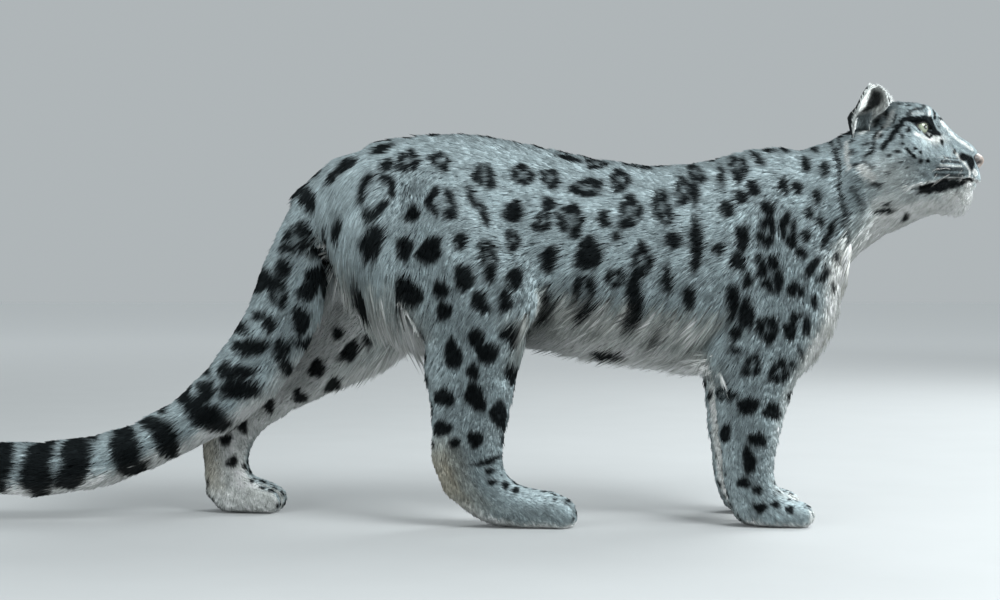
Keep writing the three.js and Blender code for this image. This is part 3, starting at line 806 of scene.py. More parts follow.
class Marks:
    """The dark marks of the coat, each an oval on the surface or a stroke, read at any point."""

    def __init__(self):
        self.ovals = []
        self.strokes = []
        self.pale = []

    def oval(self, kind, centre, normal, first, half, seed, strength=1.0):
        """One more oval: its kind, middle, normal, first axis and half sizes along both."""
        second = unit(np.cross(normal, first))
        first = np.cross(second, normal)
        self.ovals.append((kind, centre, normal, first, second, half, seed, strength))

    def darkness(self, points, normals):
        """How dark each point is, 0 to 1: each oval is a smooth step of the distance from its
        middle over its half sizes, with a wavy edge, and a ring keeps only a broken band of it
        and a greyer middle. A stroke is a smooth step of the distance from its line."""
        dark = np.zeros(len(points))
        for kind, centre, normal, first, second, half, seed, strength in self.ovals:
            reach = 1.35 * max(half)
            near = np.flatnonzero(np.abs(points[:, 0] - centre[0]) < reach)
            away = points[near] - centre
            close = (dot(away, away) < (1.3 * reach) ** 2) & (normals[near] @ normal > 0.1)
            near, away = near[close], away[close]
            if not len(near):
                continue
            x, y = away @ first / half[0], away @ second / half[1]
            turn = np.arctan2(y, x)
            wave = sum(tall * np.sin(n * turn + shift * seed) for n, tall, shift in EDGE_WAVES)
            r = np.hypot(x, y) * (1 + wave)
            soft = np.clip(EDGE_SOFT / min(half), 0.10, 0.5)
            inside = ramp(1 + soft, 1 - soft, r)
            if kind == "ring":
                breadth = np.clip(RING_BREADTH / min(half), 0.42, 0.72)
                hollow = ramp(1 - breadth - soft, 1 - breadth + soft, r)
                gap = 0.5 + 0.5 * np.sin(turn * (2 + int(seed) % 3) + 3.7 * seed)
                middle = 0.22 + 0.26 * ramp(0.030, 0.018, min(half))
                inside = inside * (middle + (1 - middle) * hollow * ramp(0.0, 0.07, gap))
            dark[near] = np.maximum(dark[near], strength * inside)
        return np.maximum(dark, self.along(self.strokes, points))

    def along(self, strokes, points):
        """How much each point is on one of some strokes, 0 to 1."""
        most = np.zeros(len(points))
        for breadth, strength, line in strokes:
            low, high = line.min(0) - 2 * breadth, line.max(0) + 2 * breadth
            near = np.flatnonzero(np.all((points > low) & (points < high), axis=1))
            off, _ = from_stroke(points[near], line)
            share = strength * ramp(breadth + STROKE_SOFT, breadth - STROKE_SOFT, off)
            most[near] = np.maximum(most[near], share)
        return most


def mirrored(points):
    """Points on the other side of the head's middle plane."""
    place = in_head(points)
    return from_head(place * (1, -1, 1))


def along_row(row, count):
    """Places in the picture at even distances along a row of whiskers."""
    x0, y0, x1, y1 = row
    return zip(np.linspace(x0, x1, count), np.linspace(y0, y1, count))


def find_marks(points, normals, sights, blend, lips):
    """All marks: those that the picture shows, the face's mirrored to its left side, and more of
    the same kinds spread over the rest of the body at even distances."""
    rng = np.random.default_rng(SEED)
    marks = Marks()
    taken = []

    def place(group, mirror, bolder=True):
        """Adds a group of marks, and the same on the head's other side if wanted."""
        for x, y, half_x, half_y, *more in group:
            kind = "ring" if "ring" in more else "spot"
            centre, normal = sights.point(x, y)
            turn = math.radians(more[0] if more else 0)
            first = math.cos(turn) * ACROSS + math.sin(turn) * PICTURE_UP
            first = unit(first - (first @ normal) * normal)
            scale = PIXEL * np.linalg.norm(centre - CAMERA) / CAMERA_AWAY
            toward = unit(CAMERA - centre)
            second = np.cross(normal, first)
            boldness = BOLDNESS[kind] if bolder else 1.0
            half = [
                size * scale * boldness / max(math.sqrt(1 - (axis @ toward) ** 2), LEAST_TURNED)
                for size, axis in ((half_x, first), (half_y, second))
            ]
            seed = rng.uniform(0, 6)
            marks.oval(kind, centre, normal, first, half, seed)
            taken.append((*centre, max(half)))
            if mirror:
                other, its_normal = sights.nearest(mirrored(centre))
                first = mirrored(centre + first * 0.01) - mirrored(centre)
                marks.oval(kind, other, its_normal, unit(first), half, seed)
                taken.append((*other, max(half)))

    for group in (RUMP, BACK, FLANK, SHOULDER, TAIL, FAR_LEGS):
        place(group, False)
    place(FACE, True)
    place(LIPS_AND_LIP_SHADOW, True, False)
    for row in WHISKER_ROWS:
        place([(x, y, 1.0, 0.8) for x, y in along_row(row, 5)], True, False)
    for group, found in ((FACE_STROKES, marks.strokes), (PALE_STROKES, marks.pale)):
        for breadth, strength, line in group:
            line = np.array([sights.point(*at)[0] for at in line])
            found.append((breadth * STROKES_BOLDER, strength, line))
    marks.strokes.append((LIP_BREADTH, 1.0, from_head(lips * (1, -1, 1))))
    marks.strokes.append((LIP_BREADTH, 1.0, from_head(CLEFT)))
    for found in (marks.strokes, marks.pale):
        found[:] = [
            (breadth * PIXEL, strength, side)
            for breadth, strength, line in found for side in (line, mirrored(line))
        ]
    spread_marks(marks, taken, points, normals, blend, rng)
    return marks


# Marks spread over what the picture doesn't show, for each line of the body: their least and most
# half size, and how far apart they are.
SPREAD = {
    "trunk": (0.013, 0.020, 0.045),
    "neck": (0.008, 0.013, 0.030),
    "head": (0.0035, 0.0055, 0.016),
    "tail": (0.024, 0.032, 0.058),
    "fore_right": (0.007, 0.012, 0.030),
    "fore_left": (0.007, 0.012, 0.030),
    "hind_right": (0.009, 0.016, 0.034),
    "hind_left": (0.009, 0.016, 0.034),
}


PLACES_TRIED = 24000
SMALLEST_RING = 0.0115


def spread_marks(marks, taken, points, normals, blend, rng):
    """Ovals at random points of the skin that keep their distance from all others, where the
    picture doesn't show the coat and the coat isn't white."""
    label = main_line(blend)
    seen = dot(normals, unit(CAMERA - points))
    white = whiteness(points, normals, blend)
    place = in_head(points)
    for i in rng.permutation(len(points))[:PLACES_TRIED]:
        name = blend["names"][label[i]]
        least, most, apart = SPREAD[name]
        near_side = name in ("trunk", "neck", "tail", "fore_right", "hind_right")
        if near_side and seen[i] > 0.25 or white[i] > 0.6:
            continue
        if name == "head" and (seen[i] > 0.4 or place[i, 0] > 0.115 or place[i, 2] < 0.6):
            continue
        low = points[i, 2] < 0.13 and name not in ("tail", "head")
        shrink = 0.5 if low else 1.0
        others = np.array(taken)
        gap = np.linalg.norm(others[:, :3] - points[i], axis=1) - others[:, 3]
        half = rng.uniform(least, most) * shrink
        if gap.min() < half + (apart - 2 * most) * shrink:
            continue
        ringed = half > SMALLEST_RING and rng.random() < 0.75 and name != "tail"
        way = blend["way"][i]
        first = unit(way - (way @ normals[i]) * normals[i])
        flat = rng.uniform(0.7, 0.95)
        shape = (half, half * flat) if name != "tail" else (half * 0.75, half * 1.35)
        kind = "ring" if ringed else "spot"
        marks.oval(kind, points[i], normals[i], first, shape, rng.uniform(0, 6))
        taken.append((*points[i], half))


# Colours of the coat


def whiteness(points, normals, blend):
    """How white the coat is at each point, 0 to 1: below the body, at the chest and throat, the
    chin and the muzzle, and inside the legs."""
    weights = blend["weights"]
    legs = sum(weights[name] for name in weights if name.startswith(("fore", "hind")))
    under = ramp(-0.25, -0.75, normals[:, 2])
    place = in_head(points)[:, ::2]
    u, w = place.T
    front = ramp(0.35, 0.8, normals[:, 0]) * ramp(0.50, 0.60, points[:, 0])
    front = front * ramp(0.52, 0.44, points[:, 2])
    inward = ramp(0.1, 0.7, -normals[:, 1] * np.sign(points[:, 1])) * legs
    throat = ramp(0.02, 0.05, u) * ramp(0.545, 0.515, w) * (0.45 + 0.55 * ramp(0.10, 0.14, u))
    below_eye = form(place, (0.108, 0.601), (0.014, 0.008)) * (u > 0.08)
    cheek = 0.5 * form(place, (0.045, 0.545), (0.04, 0.03)) * (u > 0)
    return np.clip(np.maximum.reduce([under, front, 0.9 * inward, throat, below_eye, cheek]), 0, 1)


# Painted shade on parts of the face: where each is centred (ahead, side, height), its reach and its
# share.
FACE_SHADE = (
    ((0.145, 0.026, 0.556), (0.022, 0.020, 0.014), 0.50),  # whisker pad
    ((0.112, 0.035, 0.590), (0.018, 0.020, 0.012), 0.25),  # below the eye's inner corner
)


def coat_colours(points, normals, blend, marks, settings):
    """The coat's colour at each point: grey to white by whiteness, mottled, tan in a few places,
    painted shade in the toes' grooves and on the face, pale strokes with a painted highlight
    along the bridge, and dark by the marks, some of them painted shadow."""
    grey = np.array(settings.coat_grey)
    white = np.array(settings.coat_white)
    tan = np.array(settings.coat_tan)
    dark = np.array(settings.mark_black)
    pale = whiteness(points, normals, blend)
    base = mix(np.tile(grey, (len(points), 1)), white, pale)
    cloud = 1 + 0.10 * ripple(points, 0.055, 3) + 0.10 * ripple(points, 0.02, 4)
    base = base * cloud[:, None]
    weights = blend["weights"]
    heel = (weights["hind_right"] + weights["hind_left"]) * ramp(0.17, 0.09, points[:, 2])
    backwards = ramp(0.15, -0.55, normals[:, 0] + 0.5 * normals[:, 2])
    heel = heel * ramp(0.015, 0.06, points[:, 2]) * backwards
    root = weights["tail"] * ramp(0.40, 0.46, points[:, 2]) * ramp(0.2, 0.8, normals[:, 0])
    edge = weights["trunk"] * ramp(-0.05, -0.35, normals[:, 2]) * ramp(-0.8, -0.4, normals[:, 2])
    base = mix(base, tan, np.clip(0.65 * heel + 0.5 * root + 0.20 * edge, 0, 0.8))
    # Painted shade in the grooves between the toes.
    base = base * (1 - 0.6 * np.clip(toe_grooves(points), 0, 1))[:, None]
    place = folded(points)
    # Painted shade on the whisker pad and below the eye's inner corner.
    for centre, reach, share in FACE_SHADE:
        base = base * (1 - share * form(place, centre, reach))[:, None]
    # Pale strokes, one of them a painted highlight along the bridge.
    base = mix(base, white, 0.95 * marks.along(marks.pale, points))
    black = marks.darkness(points, normals)
    for side in SIDES:
        distance, number = opening_at(points, side)
        _, _, outer, upper = eye_axes(side)
        way = unit(points - eye_axes(side)[0])
        rim = 1.10 + 0.30 * ramp(0.0, 0.5, way @ upper) + 0.75 * ramp(-0.35, -0.75, way @ outer)
        black = np.maximum(black, ramp(0.06, -0.06, number - rim) * (distance < 0.026))
    black = np.maximum(black, nose_share(points)[0])
    return mix(base, dark, 0.98 * black)


# Meshes, materials and pieces


def put_mesh(name, points, faces, colours=None, values=None):
    """A mesh object from arrays: points, triangles or quads all of one size, and for each point a
    colour and numbers by name."""
    mesh = bpy.data.meshes.new(name)
    faces = np.asarray(faces, np.int32)
    count, corners = faces.shape
    mesh.vertices.add(len(points))
    mesh.vertices.foreach_set("co", np.asarray(points, np.float32).ravel())
    mesh.loops.add(count * corners)
    mesh.loops.foreach_set("vertex_index", faces.ravel())
    mesh.polygons.add(count)
    mesh.polygons.foreach_set("loop_start", np.arange(count, dtype=np.int32) * corners)
    mesh.polygons.foreach_set("use_smooth", np.full(count, True))
    mesh.update(calc_edges=True)
    if colours is not None:
        rgba = np.ones((len(points), 4), np.float32)
        rgba[:, :3] = np.clip(colours, 0, 1)
        layer = mesh.attributes.new("coat", "FLOAT_COLOR", "POINT")
        layer.data.foreach_set("color", rgba.ravel())
    for key, numbers in (values or {}).items():
        numbers = np.asarray(numbers, np.float32)
        mesh.attributes.new(key, "FLOAT", "POINT").data.foreach_set("value", numbers)
    thing = bpy.data.objects.new(name, mesh)
    bpy.context.scene.collection.objects.link(thing)
    return thing


def grid_faces(rows, columns, closed_rows=False, closed_columns=False):
    """The quads of a grid of points in row order, joined end to end where closed."""
    r = np.arange(rows if closed_rows else rows - 1)
    c = np.arange(columns if closed_columns else columns - 1)
    r, c = (a.ravel() for a in np.meshgrid(r, c, indexing="ij"))
    r2, c2 = (r + 1) % rows, (c + 1) % columns
    return np.stack([r * columns + c, r * columns + c2, r2 * columns + c2, r2 * columns + c], 1)


def ball_grid(rows, columns):
    """A ball's points in rows from its front pole to its back one: the angle of each from the
    front, its places ahead, across and up on a ball of radius 1, and the grid's quads."""
    angles = np.linspace(0, np.pi, rows)
    turns = np.arange(columns) / columns * 2 * np.pi
    alpha, phi = (g.ravel() for g in np.meshgrid(angles, turns, indexing="ij"))
    ahead, across, up = np.cos(alpha), np.sin(alpha) * np.cos(phi), np.sin(alpha) * np.sin(phi)
    return alpha, ahead, across, up, grid_faces(rows, columns, closed_columns=True)


def tube(line, aside, over, radius, sides):
    """The points of a tube: round each point of a line a ring, of that point's radius, through
    two ways that are square to the line."""
    phi = np.arange(sides) / sides * 2 * np.pi
    ring = np.cos(phi)[None, :, None] * aside[:, None]
    ring = ring + np.sin(phi)[None, :, None] * over[:, None]
    return (line[:, None] + ring * radius[:, None, None]).reshape(-1, 3)


class Socket:
    """A node's output that takes part in Python arithmetic by adding Math nodes."""

    def __init__(self, shop, link):
        self.shop = shop
        self.link = link

    def _with(self, operation, *others):
        return self.shop.node("ShaderNodeMath", {"operation": operation}, (self, *others))

    def __add__(self, other):
        return self._with("ADD", other)

    def __sub__(self, other):
        return self._with("SUBTRACT", other)

    def __rsub__(self, other):
        return self.shop.node("ShaderNodeMath", {"operation": "SUBTRACT"}, (other, self))

    def __mul__(self, other):
        return self._with("MULTIPLY", other)

    __radd__ = __add__
    __rmul__ = __mul__


class Shop:
    """A material under construction, with its one Principled shader."""

    def __init__(self, name, **constants):
        self.material = bpy.data.materials.new(name)
        self.material.use_nodes = True
        self.nodes = self.material.node_tree.nodes
        self.links = self.material.node_tree.links
        self.shader = self.nodes["Principled BSDF"]
        for socket, value in constants.items():
            self.shader.inputs[socket.replace("_", " ")].default_value = value

    def node(self, kind, settings=None, inputs=None, output=0):
        """A new node with its settings, then its inputs by name or in order, and one output."""
        node = self.nodes.new(kind)
        for key, value in (settings or {}).items():
            if key == "stops":
                self.set_stops(node.color_ramp, value)
            else:
                setattr(node, key, value)
        pairs = inputs.items() if isinstance(inputs, dict) else enumerate(inputs or ())
        for key, value in pairs:
            self.feed(node.inputs[key], value)
        return Socket(self, node.outputs[output])

    def set_stops(self, ramp_of, stops):
        """A colour ramp's stops, each a place and a colour."""
        while len(ramp_of.elements) < len(stops):
            ramp_of.elements.new(0.5)
        for element, (where, colour) in zip(ramp_of.elements, stops):
            element.position = where
            element.color = (*colour, 1)

    def feed(self, socket, value):
        """A link or a constant into a socket."""
        if isinstance(value, Socket):
            self.links.new(value.link, socket)
        else:
            socket.default_value = value

    def set(self, name, value):
        """A link or a constant into one of the shader's sockets."""
        self.feed(self.shader.inputs[name], value)

    def grey(self, value):
        """A number as a colour."""
        return self.node("ShaderNodeCombineColor", None, (value, value, value))

    def mixed(self, share, a, b, blend="MIX"):
        """Two colours mixed by a share."""
        return self.node(
            "ShaderNodeMix",
            {"data_type": "RGBA", "blend_type": blend, "clamp_result": True},
            {0: share, 6: a, 7: b},
            2,
        )

    def attribute(self, name, output="Color"):
        """A mesh attribute's colour or number."""
        return self.node("ShaderNodeAttribute", {"attribute_name": name}, output=output)

    def place(self):
        """The object's own coordinates."""
        return self.node("ShaderNodeTexCoord", output="Object")

    def noise(self, place, scale, detail=2.0, rough=0.5):
        """Noise about 0 to 1."""
        inputs = {"Vector": place, "Scale": scale, "Detail": detail, "Roughness": rough}
        return self.node("ShaderNodeTexNoise", None, inputs, output="Fac")

    def bump(self, height, strength, distance):
        """A bump into the shader's normal."""
        inputs = {"Height": height, "Strength": strength, "Distance": distance}
        self.set("Normal", self.node("ShaderNodeBump", None, inputs, output="Normal"))


def fur_material():
    """Locks: the coat's colour, darker at the root as painted shade and paler at the tip."""
    shop = Shop("leopard_fur", Roughness=0.8, Specular_IOR_Level=0.06)
    tip = shop.attribute("tip", "Fac")
    lock = shop.attribute("lock", "Fac")
    ways = (3.2 * shop.attribute("across", "Fac"), 1.6 * tip, 400.0 * lock)
    place = shop.node("ShaderNodeCombineXYZ", None, ways)
    strands = shop.noise(place, 1.0, 2.0, 0.7)
    # Painted shade: the tone is darker at the root (tip 0) and paler towards the tip.
    tone = shop.grey(0.50 + 0.54 * tip + 0.75 * (strands - 0.5))
    shop.set("Base Color", shop.mixed(1.0, shop.attribute("coat"), tone, "MULTIPLY"))
    return shop.material


def skin_material():
    """Short fur seen as skin: the coat's colour, darkened as painted shade, with fine grain and
    bump.
    """
    shop = Shop("leopard_skin", Roughness=0.8, Specular_IOR_Level=0.10)
    place = shop.place()
    grain = shop.noise(place, 700.0, 3.0, 0.6)
    soft = shop.noise(place, 160.0, 2.0)
    # Painted shade: the skin is kept darker than the locks, as if in their shadow.
    tone = shop.grey(0.46 + 0.30 * grain + 0.16 * soft)
    shop.set("Base Color", shop.mixed(1.0, shop.attribute("coat"), tone, "MULTIPLY"))
    shop.bump(grain + 0.5 * soft, 0.5, 0.0009)
    return shop.material


def eye_material(settings):
    """The ball by the angle from its gaze: pupil, streaked iris and dark edge."""
    shop = Shop("leopard_eye", Roughness=0.09, IOR=1.38, Coat_Weight=1.0, Coat_Roughness=0.03)
    angle = shop.attribute("angle", "Fac")
    iris = tuple(settings.iris)
    inner, outer = (tuple(share * c for c in iris) for share in (0.62, 0.6))
    pupil = (0.003, 0.003, 0.003)
    stops = (
        (0.0, pupil), (0.24, pupil), (0.27, inner), (0.50, iris), (0.86, outer),
        (0.95, (0.01, 0.01, 0.009)), (1.0, (0.02, 0.018, 0.015)),
    )
    rings = shop.node("ShaderNodeValToRGB", {"stops": stops}, {"Fac": angle}, "Color")
    tone = shop.grey(0.70 + 0.6 * shop.noise(shop.place(), 1400.0, 3.0))
    shop.set("Base Color", shop.mixed(1.0, rings, tone, "MULTIPLY"))
    return shop.material


def leather_material(name, colour, dark, rough):
    """Bare damp skin: pebbled, with darker nostrils and edges by an attribute: painted shade in the
    nostrils, and on the edges partly the leather's own dark and partly painted shade.
    """
    shop = Shop(name, Roughness=rough, Coat_Weight=0.25, Coat_Roughness=0.35)
    place = shop.place()
    cells = shop.node("ShaderNodeTexVoronoi", None, {"Vector": place, "Scale": 900.0}, "Distance")
    patches = shop.noise(place, 120.0, 2.0)
    base = shop.mixed(patches, (*colour, 1), (*(0.6 * c for c in colour), 1))
    shop.set("Base Color", shop.mixed(shop.attribute("hollow", "Fac"), base, (*dark, 1)))
    shop.bump(cells, 0.45, 0.0004)
    return shop.material


def whisker_material():
    """Stiff pale hair, greyer in bands."""
    shop = Shop("leopard_whisker", Roughness=0.4)
    bands = shop.noise(shop.place(), 60.0, 1.0)
    shop.set("Base Color", shop.mixed(bands, (0.82, 0.80, 0.76, 1), (0.62, 0.60, 0.57, 1)))
    return shop.material


# Ears

EAR_ROOT = (0.001, 0.061, 0.628)  # in the head's own places
EAR_TALL = 0.062
EAR_HALF = 0.034  # half its breadth
EAR_BULGE = 0.026  # how far the back stands behind the rims
EAR_POUCH = 0.015  # how much further the back bulges low down
EAR_WALL = 0.0035
EAR_BELOW = (-0.45, -0.30, -0.15)  # the heights of its loops inside the head
EAR_ACROSS = 25  # points across its back
EAR_FACING = 0.65  # how far its opening is turned outwards
EAR_LEAN = 0.28  # how far its tip leans outwards
EAR_FORWARD = 0.06  # how much the tip leans forward


def ear_axes(side):
    """An ear's root, the way out of its opening, the way across it and the way to its tip."""
    sign = SIDES[side]
    sf, cf = math.sin(EAR_FACING), math.cos(EAR_FACING)
    sl, cl = math.sin(EAR_LEAN), math.cos(EAR_LEAN)
    turned = np.array([AHEAD, LEFT, UP])
    out = np.array([cf, sign * sf * cl, -sf * sl]) @ turned
    tip = unit(np.array([EAR_FORWARD, sign * sl, cl])) @ turned
    out = unit(out - (out @ tip) * tip)
    return from_head(np.array(EAR_ROOT) * (1, sign, 1)), out, np.cross(tip, out), tip


def ear_shell(side):
    """An ear as a closed cup: for each height a loop runs across the back and returns inside it.
    The half breadth closes like a root of 1 minus a power of the height, and the back bulges like
    a root of 1 minus a power of the place across."""
    root, out, across, up = ear_axes(side)
    heights = np.concatenate([EAR_BELOW, np.linspace(0, 0.90, 16), [0.95, 0.98, 0.995]])
    back = np.linspace(-1, 1, EAR_ACROSS)
    s = np.concatenate([back, back[-2:0:-1]])
    inner = np.concatenate([np.zeros(EAR_ACROSS), np.ones(EAR_ACROSS - 2)])
    t, s = np.meshgrid(heights, s, indexing="ij")
    inner = np.broadcast_to(inner, t.shape)
    above = np.maximum(t, 0)
    closing = ramp(0.45, -0.10, t)
    half = EAR_HALF * (1 - above**2.6) ** 0.55 * (1 - 0.45 * closing)
    bowl = (1 - np.abs(s) ** 2.2) ** 0.8 * (1 - 0.5 * above)
    bulge = (EAR_BULGE + EAR_POUCH * bell(t - 0.10, 0.30)) * (1 - 0.4 * closing)
    wall = EAR_WALL * inner * (1 - np.abs(s) ** 3) * (1 - above**6)
    x = 0.014 - 0.020 * closing - bulge * bowl + wall + 0.004 * above
    y = half * s * (1 + 0.06 * np.sin(3 * t))
    z = EAR_TALL * t
    points = root + x[..., None] * out + y[..., None] * across + z[..., None] * up
    rows, columns = t.shape
    faces = grid_faces(rows, columns, closed_columns=True)
    flat = points.reshape(-1, 3)
    ends = np.array([flat[:columns].mean(0), flat[-columns:].mean(0)])
    around = np.arange(columns)
    after = (around + 1) % columns
    low, high = len(flat), len(flat) + 1
    top = (rows - 1) * columns
    triangles = np.vstack([
        faces[:, [0, 1, 2]], faces[:, [0, 2, 3]],
        np.column_stack([after, around, np.full(columns, low)]),
        np.column_stack([top + around, top + after, np.full(columns, high)]),
    ])
    flat = np.vstack([flat, ends])
    triangles = turned_outwards(flat, triangles, root)
    keys = {"t": t, "s": s, "inner": inner, "medial": -SIDES[side] * s}
    for key, values in keys.items():
        keys[key] = np.append(values.ravel(), [values[0, 0], values[-1, 0]])
    outside = 1 - keys["inner"]
    bent = keys["s"] * (0.5 * outside * np.abs(keys["s"]) - 0.55 * keys["inner"])
    keys["lie"] = unit(up + bent[:, None] * across + 0.55 * keys["inner"][:, None] * out)
    return flat, triangles, keys


def ear_colours(keys, settings):
    """The ear's colours: black round the back with a grey middle, pale rims, darker grey low on the
    inner side, and a hollow darkened as painted shade.
    """
    colours = (settings.coat_grey, settings.coat_white, settings.mark_black)
    grey, white, dark = (np.array(colour) for colour in colours)
    s, t, inner = np.abs(keys["s"]), keys["t"], keys["inner"]
    count = len(s)
    patch = ramp(0.42, 0.58, np.hypot(s * 0.95, (t - 0.52) * 1.35))
    behind = patch * ramp(0.99, 0.90, s) * ramp(0.97, 0.90, t)
    back = mix(mix(np.tile(grey, (count, 1)), white, np.full(count, 0.3)), dark, 0.97 * behind)
    back = mix(back, white, 0.7 * np.maximum(ramp(0.93, 0.99, s), ramp(0.93, 0.98, t)))
    # Painted shade: the hollow darkens towards its middle.
    shade_core = np.hypot((keys["medial"] - 0.46) / 0.44, (t - 0.46) / 0.40)
    front = mix(np.tile(0.95 * white, (count, 1)), dark, 0.96 * ramp(1.2, 0.6, shade_core))
    front = mix(front, 0.5 * grey, ramp(0.18, -0.02, t) * ramp(-0.6, 0.2, keys["medial"]))
    return mix(back, front, inner)


# Unwrap of the skin by its lines: each line has its own strip of the map, given by its corner and
# its breadth. The place along the line runs one way and the angle round it the other.
STRIP = {
    "head": (0.01, 0.02, 0.40), "neck": (0.12, 0.02, 0.40), "trunk": (0.22, 0.02, 0.40),
    "tail": (0.56, 0.02, 0.30), "fore_right": (0.02, 0.50, 0.20), "fore_left": (0.26, 0.50, 0.20),
    "hind_right": (0.50, 0.50, 0.20), "hind_left": (0.74, 0.50, 0.20),
}
STRIP_SCALE = 0.42  # map units for each metre along a line


def unwrap(blend):
    """Each point's place on the map."""
    line, along, angle = blend["place"].T
    corner = np.array([STRIP[name] for name in blend["names"]])[line.astype(int)]
    u = corner[:, 0] + along * STRIP_SCALE
    v = corner[:, 1] + corner[:, 2] * (angle / (2 * np.pi) + 0.5)
    return np.clip(np.stack([u, v], 1), 0.0, 0.996)


# Locks of the coat

LOCK_FACES = np.array([(0, 2, 3), (1, 3, 2), (0, 1, 2), (0, 3, 1)])
LOCK_MAP = np.array([(0.0, 0.0), (1.0, 0.0), (0.5, 0.45), (0.5, 1.0)])
PATCH = 0.003  # a lock's size on the map
BEND = 0.42  # where along a lock its keel is highest
FLOOR_GAP = 0.0003  # the least height of a lock's points
COLOURED_AT = (0.50, 0.72)  # where along a lock its keel's and its tip's colours are read


def put_locks(name, stems, colours, uv, material):
    """One piece of the coat. Each lock is a thin closed blade of four points: two beside its root,
    the tip, and a raised keel between them, so that its back is bent and its underside is flat."""
    root, keel, tip, side, half = stems
    count = len(root)
    points = np.stack([root - side * half[:, None], root + side * half[:, None], keel, tip], 1)
    points[..., 2] = np.maximum(points[..., 2], FLOOR_GAP)
    faces = (LOCK_FACES[None] + 4 * np.arange(count)[:, None, None]).reshape(-1, 3)
    near, far = colours
    painted = np.stack([near, near, near, far], 1).reshape(-1, 3)
    values = {
        "tip": np.tile([0.0, 0.0, 0.55, 1.0], count),
        "across": np.tile([-1.0, 1.0, 0.0, 0.0], count),
        "lock": np.repeat(np.random.default_rng(SEED).random(count), 4),
    }
    piece = put_mesh(name, points.reshape(-1, 3), faces, painted, values)
    per_lock = uv[:, None, :] + LOCK_MAP[None] * PATCH
    layer = piece.data.uv_layers.new(name="OFBake")
    corners = per_lock.reshape(-1, 2)[faces.ravel()]
    layer.uv.foreach_set("vector", corners.astype(np.float32).ravel())
    piece.data.materials.append(material)
    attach(piece, "root")


# How the coat grows on each line: the lock's length over the coat's depth, its half breadth in
# metres, and how unruly it is.
GROWTH = {
    "head": (1.9, 0.00048, 0.16),
    "neck": (2.3, 0.00080, 0.20),
    "trunk": (2.3, 0.00082, 0.17),
    "tail": (2.2, 0.00090, 0.25),
    "fore": (2.1, 0.00070, 0.16),
    "hind": (2.1, 0.00078, 0.16),
}
STRAYS = 0.10  # the share of locks that are thinner and stand out further

# The pieces of the coat, and how much denser each grows than its depth alone would have it.
COAT_PIECES = ("coat_face", "coat_head", "coat_neck", "coat_trunk_right", "coat_trunk_left",
               "coat_fore_legs", "coat_hind_right", "coat_hind_left", "coat_tail")
DENSER = np.array([3.2, 3.6, 1.6, 1, 1, 1, 1.1, 0.9, 1.1])
LOCKS_EACH = 49900  # the most in one piece
EAR_LOCKS = 6000
LOCKS_IN_ALL = 372000


def piece_of(points, blend):
    """The number of the coat piece that each point belongs to."""
    label = main_line(blend)
    which = np.zeros(len(points), int)
    ahead = in_head(points)[:, 0]
    right = points[:, 1] < 0
    table = {
        "head": np.where(ahead > 0.062, 0, 1),
        "neck": 2,
        "trunk": np.where(right, 3, 4),
        "fore_right": 5,
        "fore_left": 5,
        "hind_right": 6,
        "hind_left": 7,
        "tail": 8,
    }
    for index, name in enumerate(blend["names"]):
        which = np.where(label == index, table[name], which)
    return which


def behind_thighs(points, normals, blend):
    """How much each point is on the back of the thighs, where the hair is long and hangs."""
    weights = blend["weights"]
    share = weights["hind_right"] + weights["hind_left"] + weights["trunk"]
    high = ramp(0.22, 0.30, points[:, 2])
    return np.clip(share * high * ramp(0.0, -0.45, normals[:, 0]) * (points[:, 0] < -0.05), 0, 1)


def lie_of(points, normals, blend):
    """The way the coat lies: along the body's lines, back from the nose on the head, down behind
    the thighs, sagging on the flanks, and flat on the skin."""
    way = blend["way"].copy()
    weights = blend["weights"]
    from_nose = unit(points - from_head((0.178, 0, 0.572)))
    share = np.clip(weights["head"], 0, 1)[:, None]
    way = way * (1 - share) + from_nose * share
    hanging = behind_thighs(points, normals, blend)
    way = way * (1 - hanging[:, None]) - UP * hanging[:, None] + normals * (0.25 * hanging)[:, None]
    flank = weights["trunk"] + 0.6 * weights["neck"]
    sag = flank * (1 - np.abs(normals[:, 2])) * (0.45 + 1.1 * ramp(0.46, 0.32, points[:, 2]))
    way = way - UP * sag[:, None]
    way = way - normals * dot(way, normals)[:, None]
    return unit(way)


def coat_depth(blend, normals):
    """The coat's depth: the lines' own, and deeper below the trunk and at the throat."""
    weights = blend["weights"]
    under = ramp(0.1, -0.7, normals[:, 2])
    longer = 0.014 * under * weights["trunk"] + 0.008 * under * weights["neck"]
    return blend["depth"] + longer


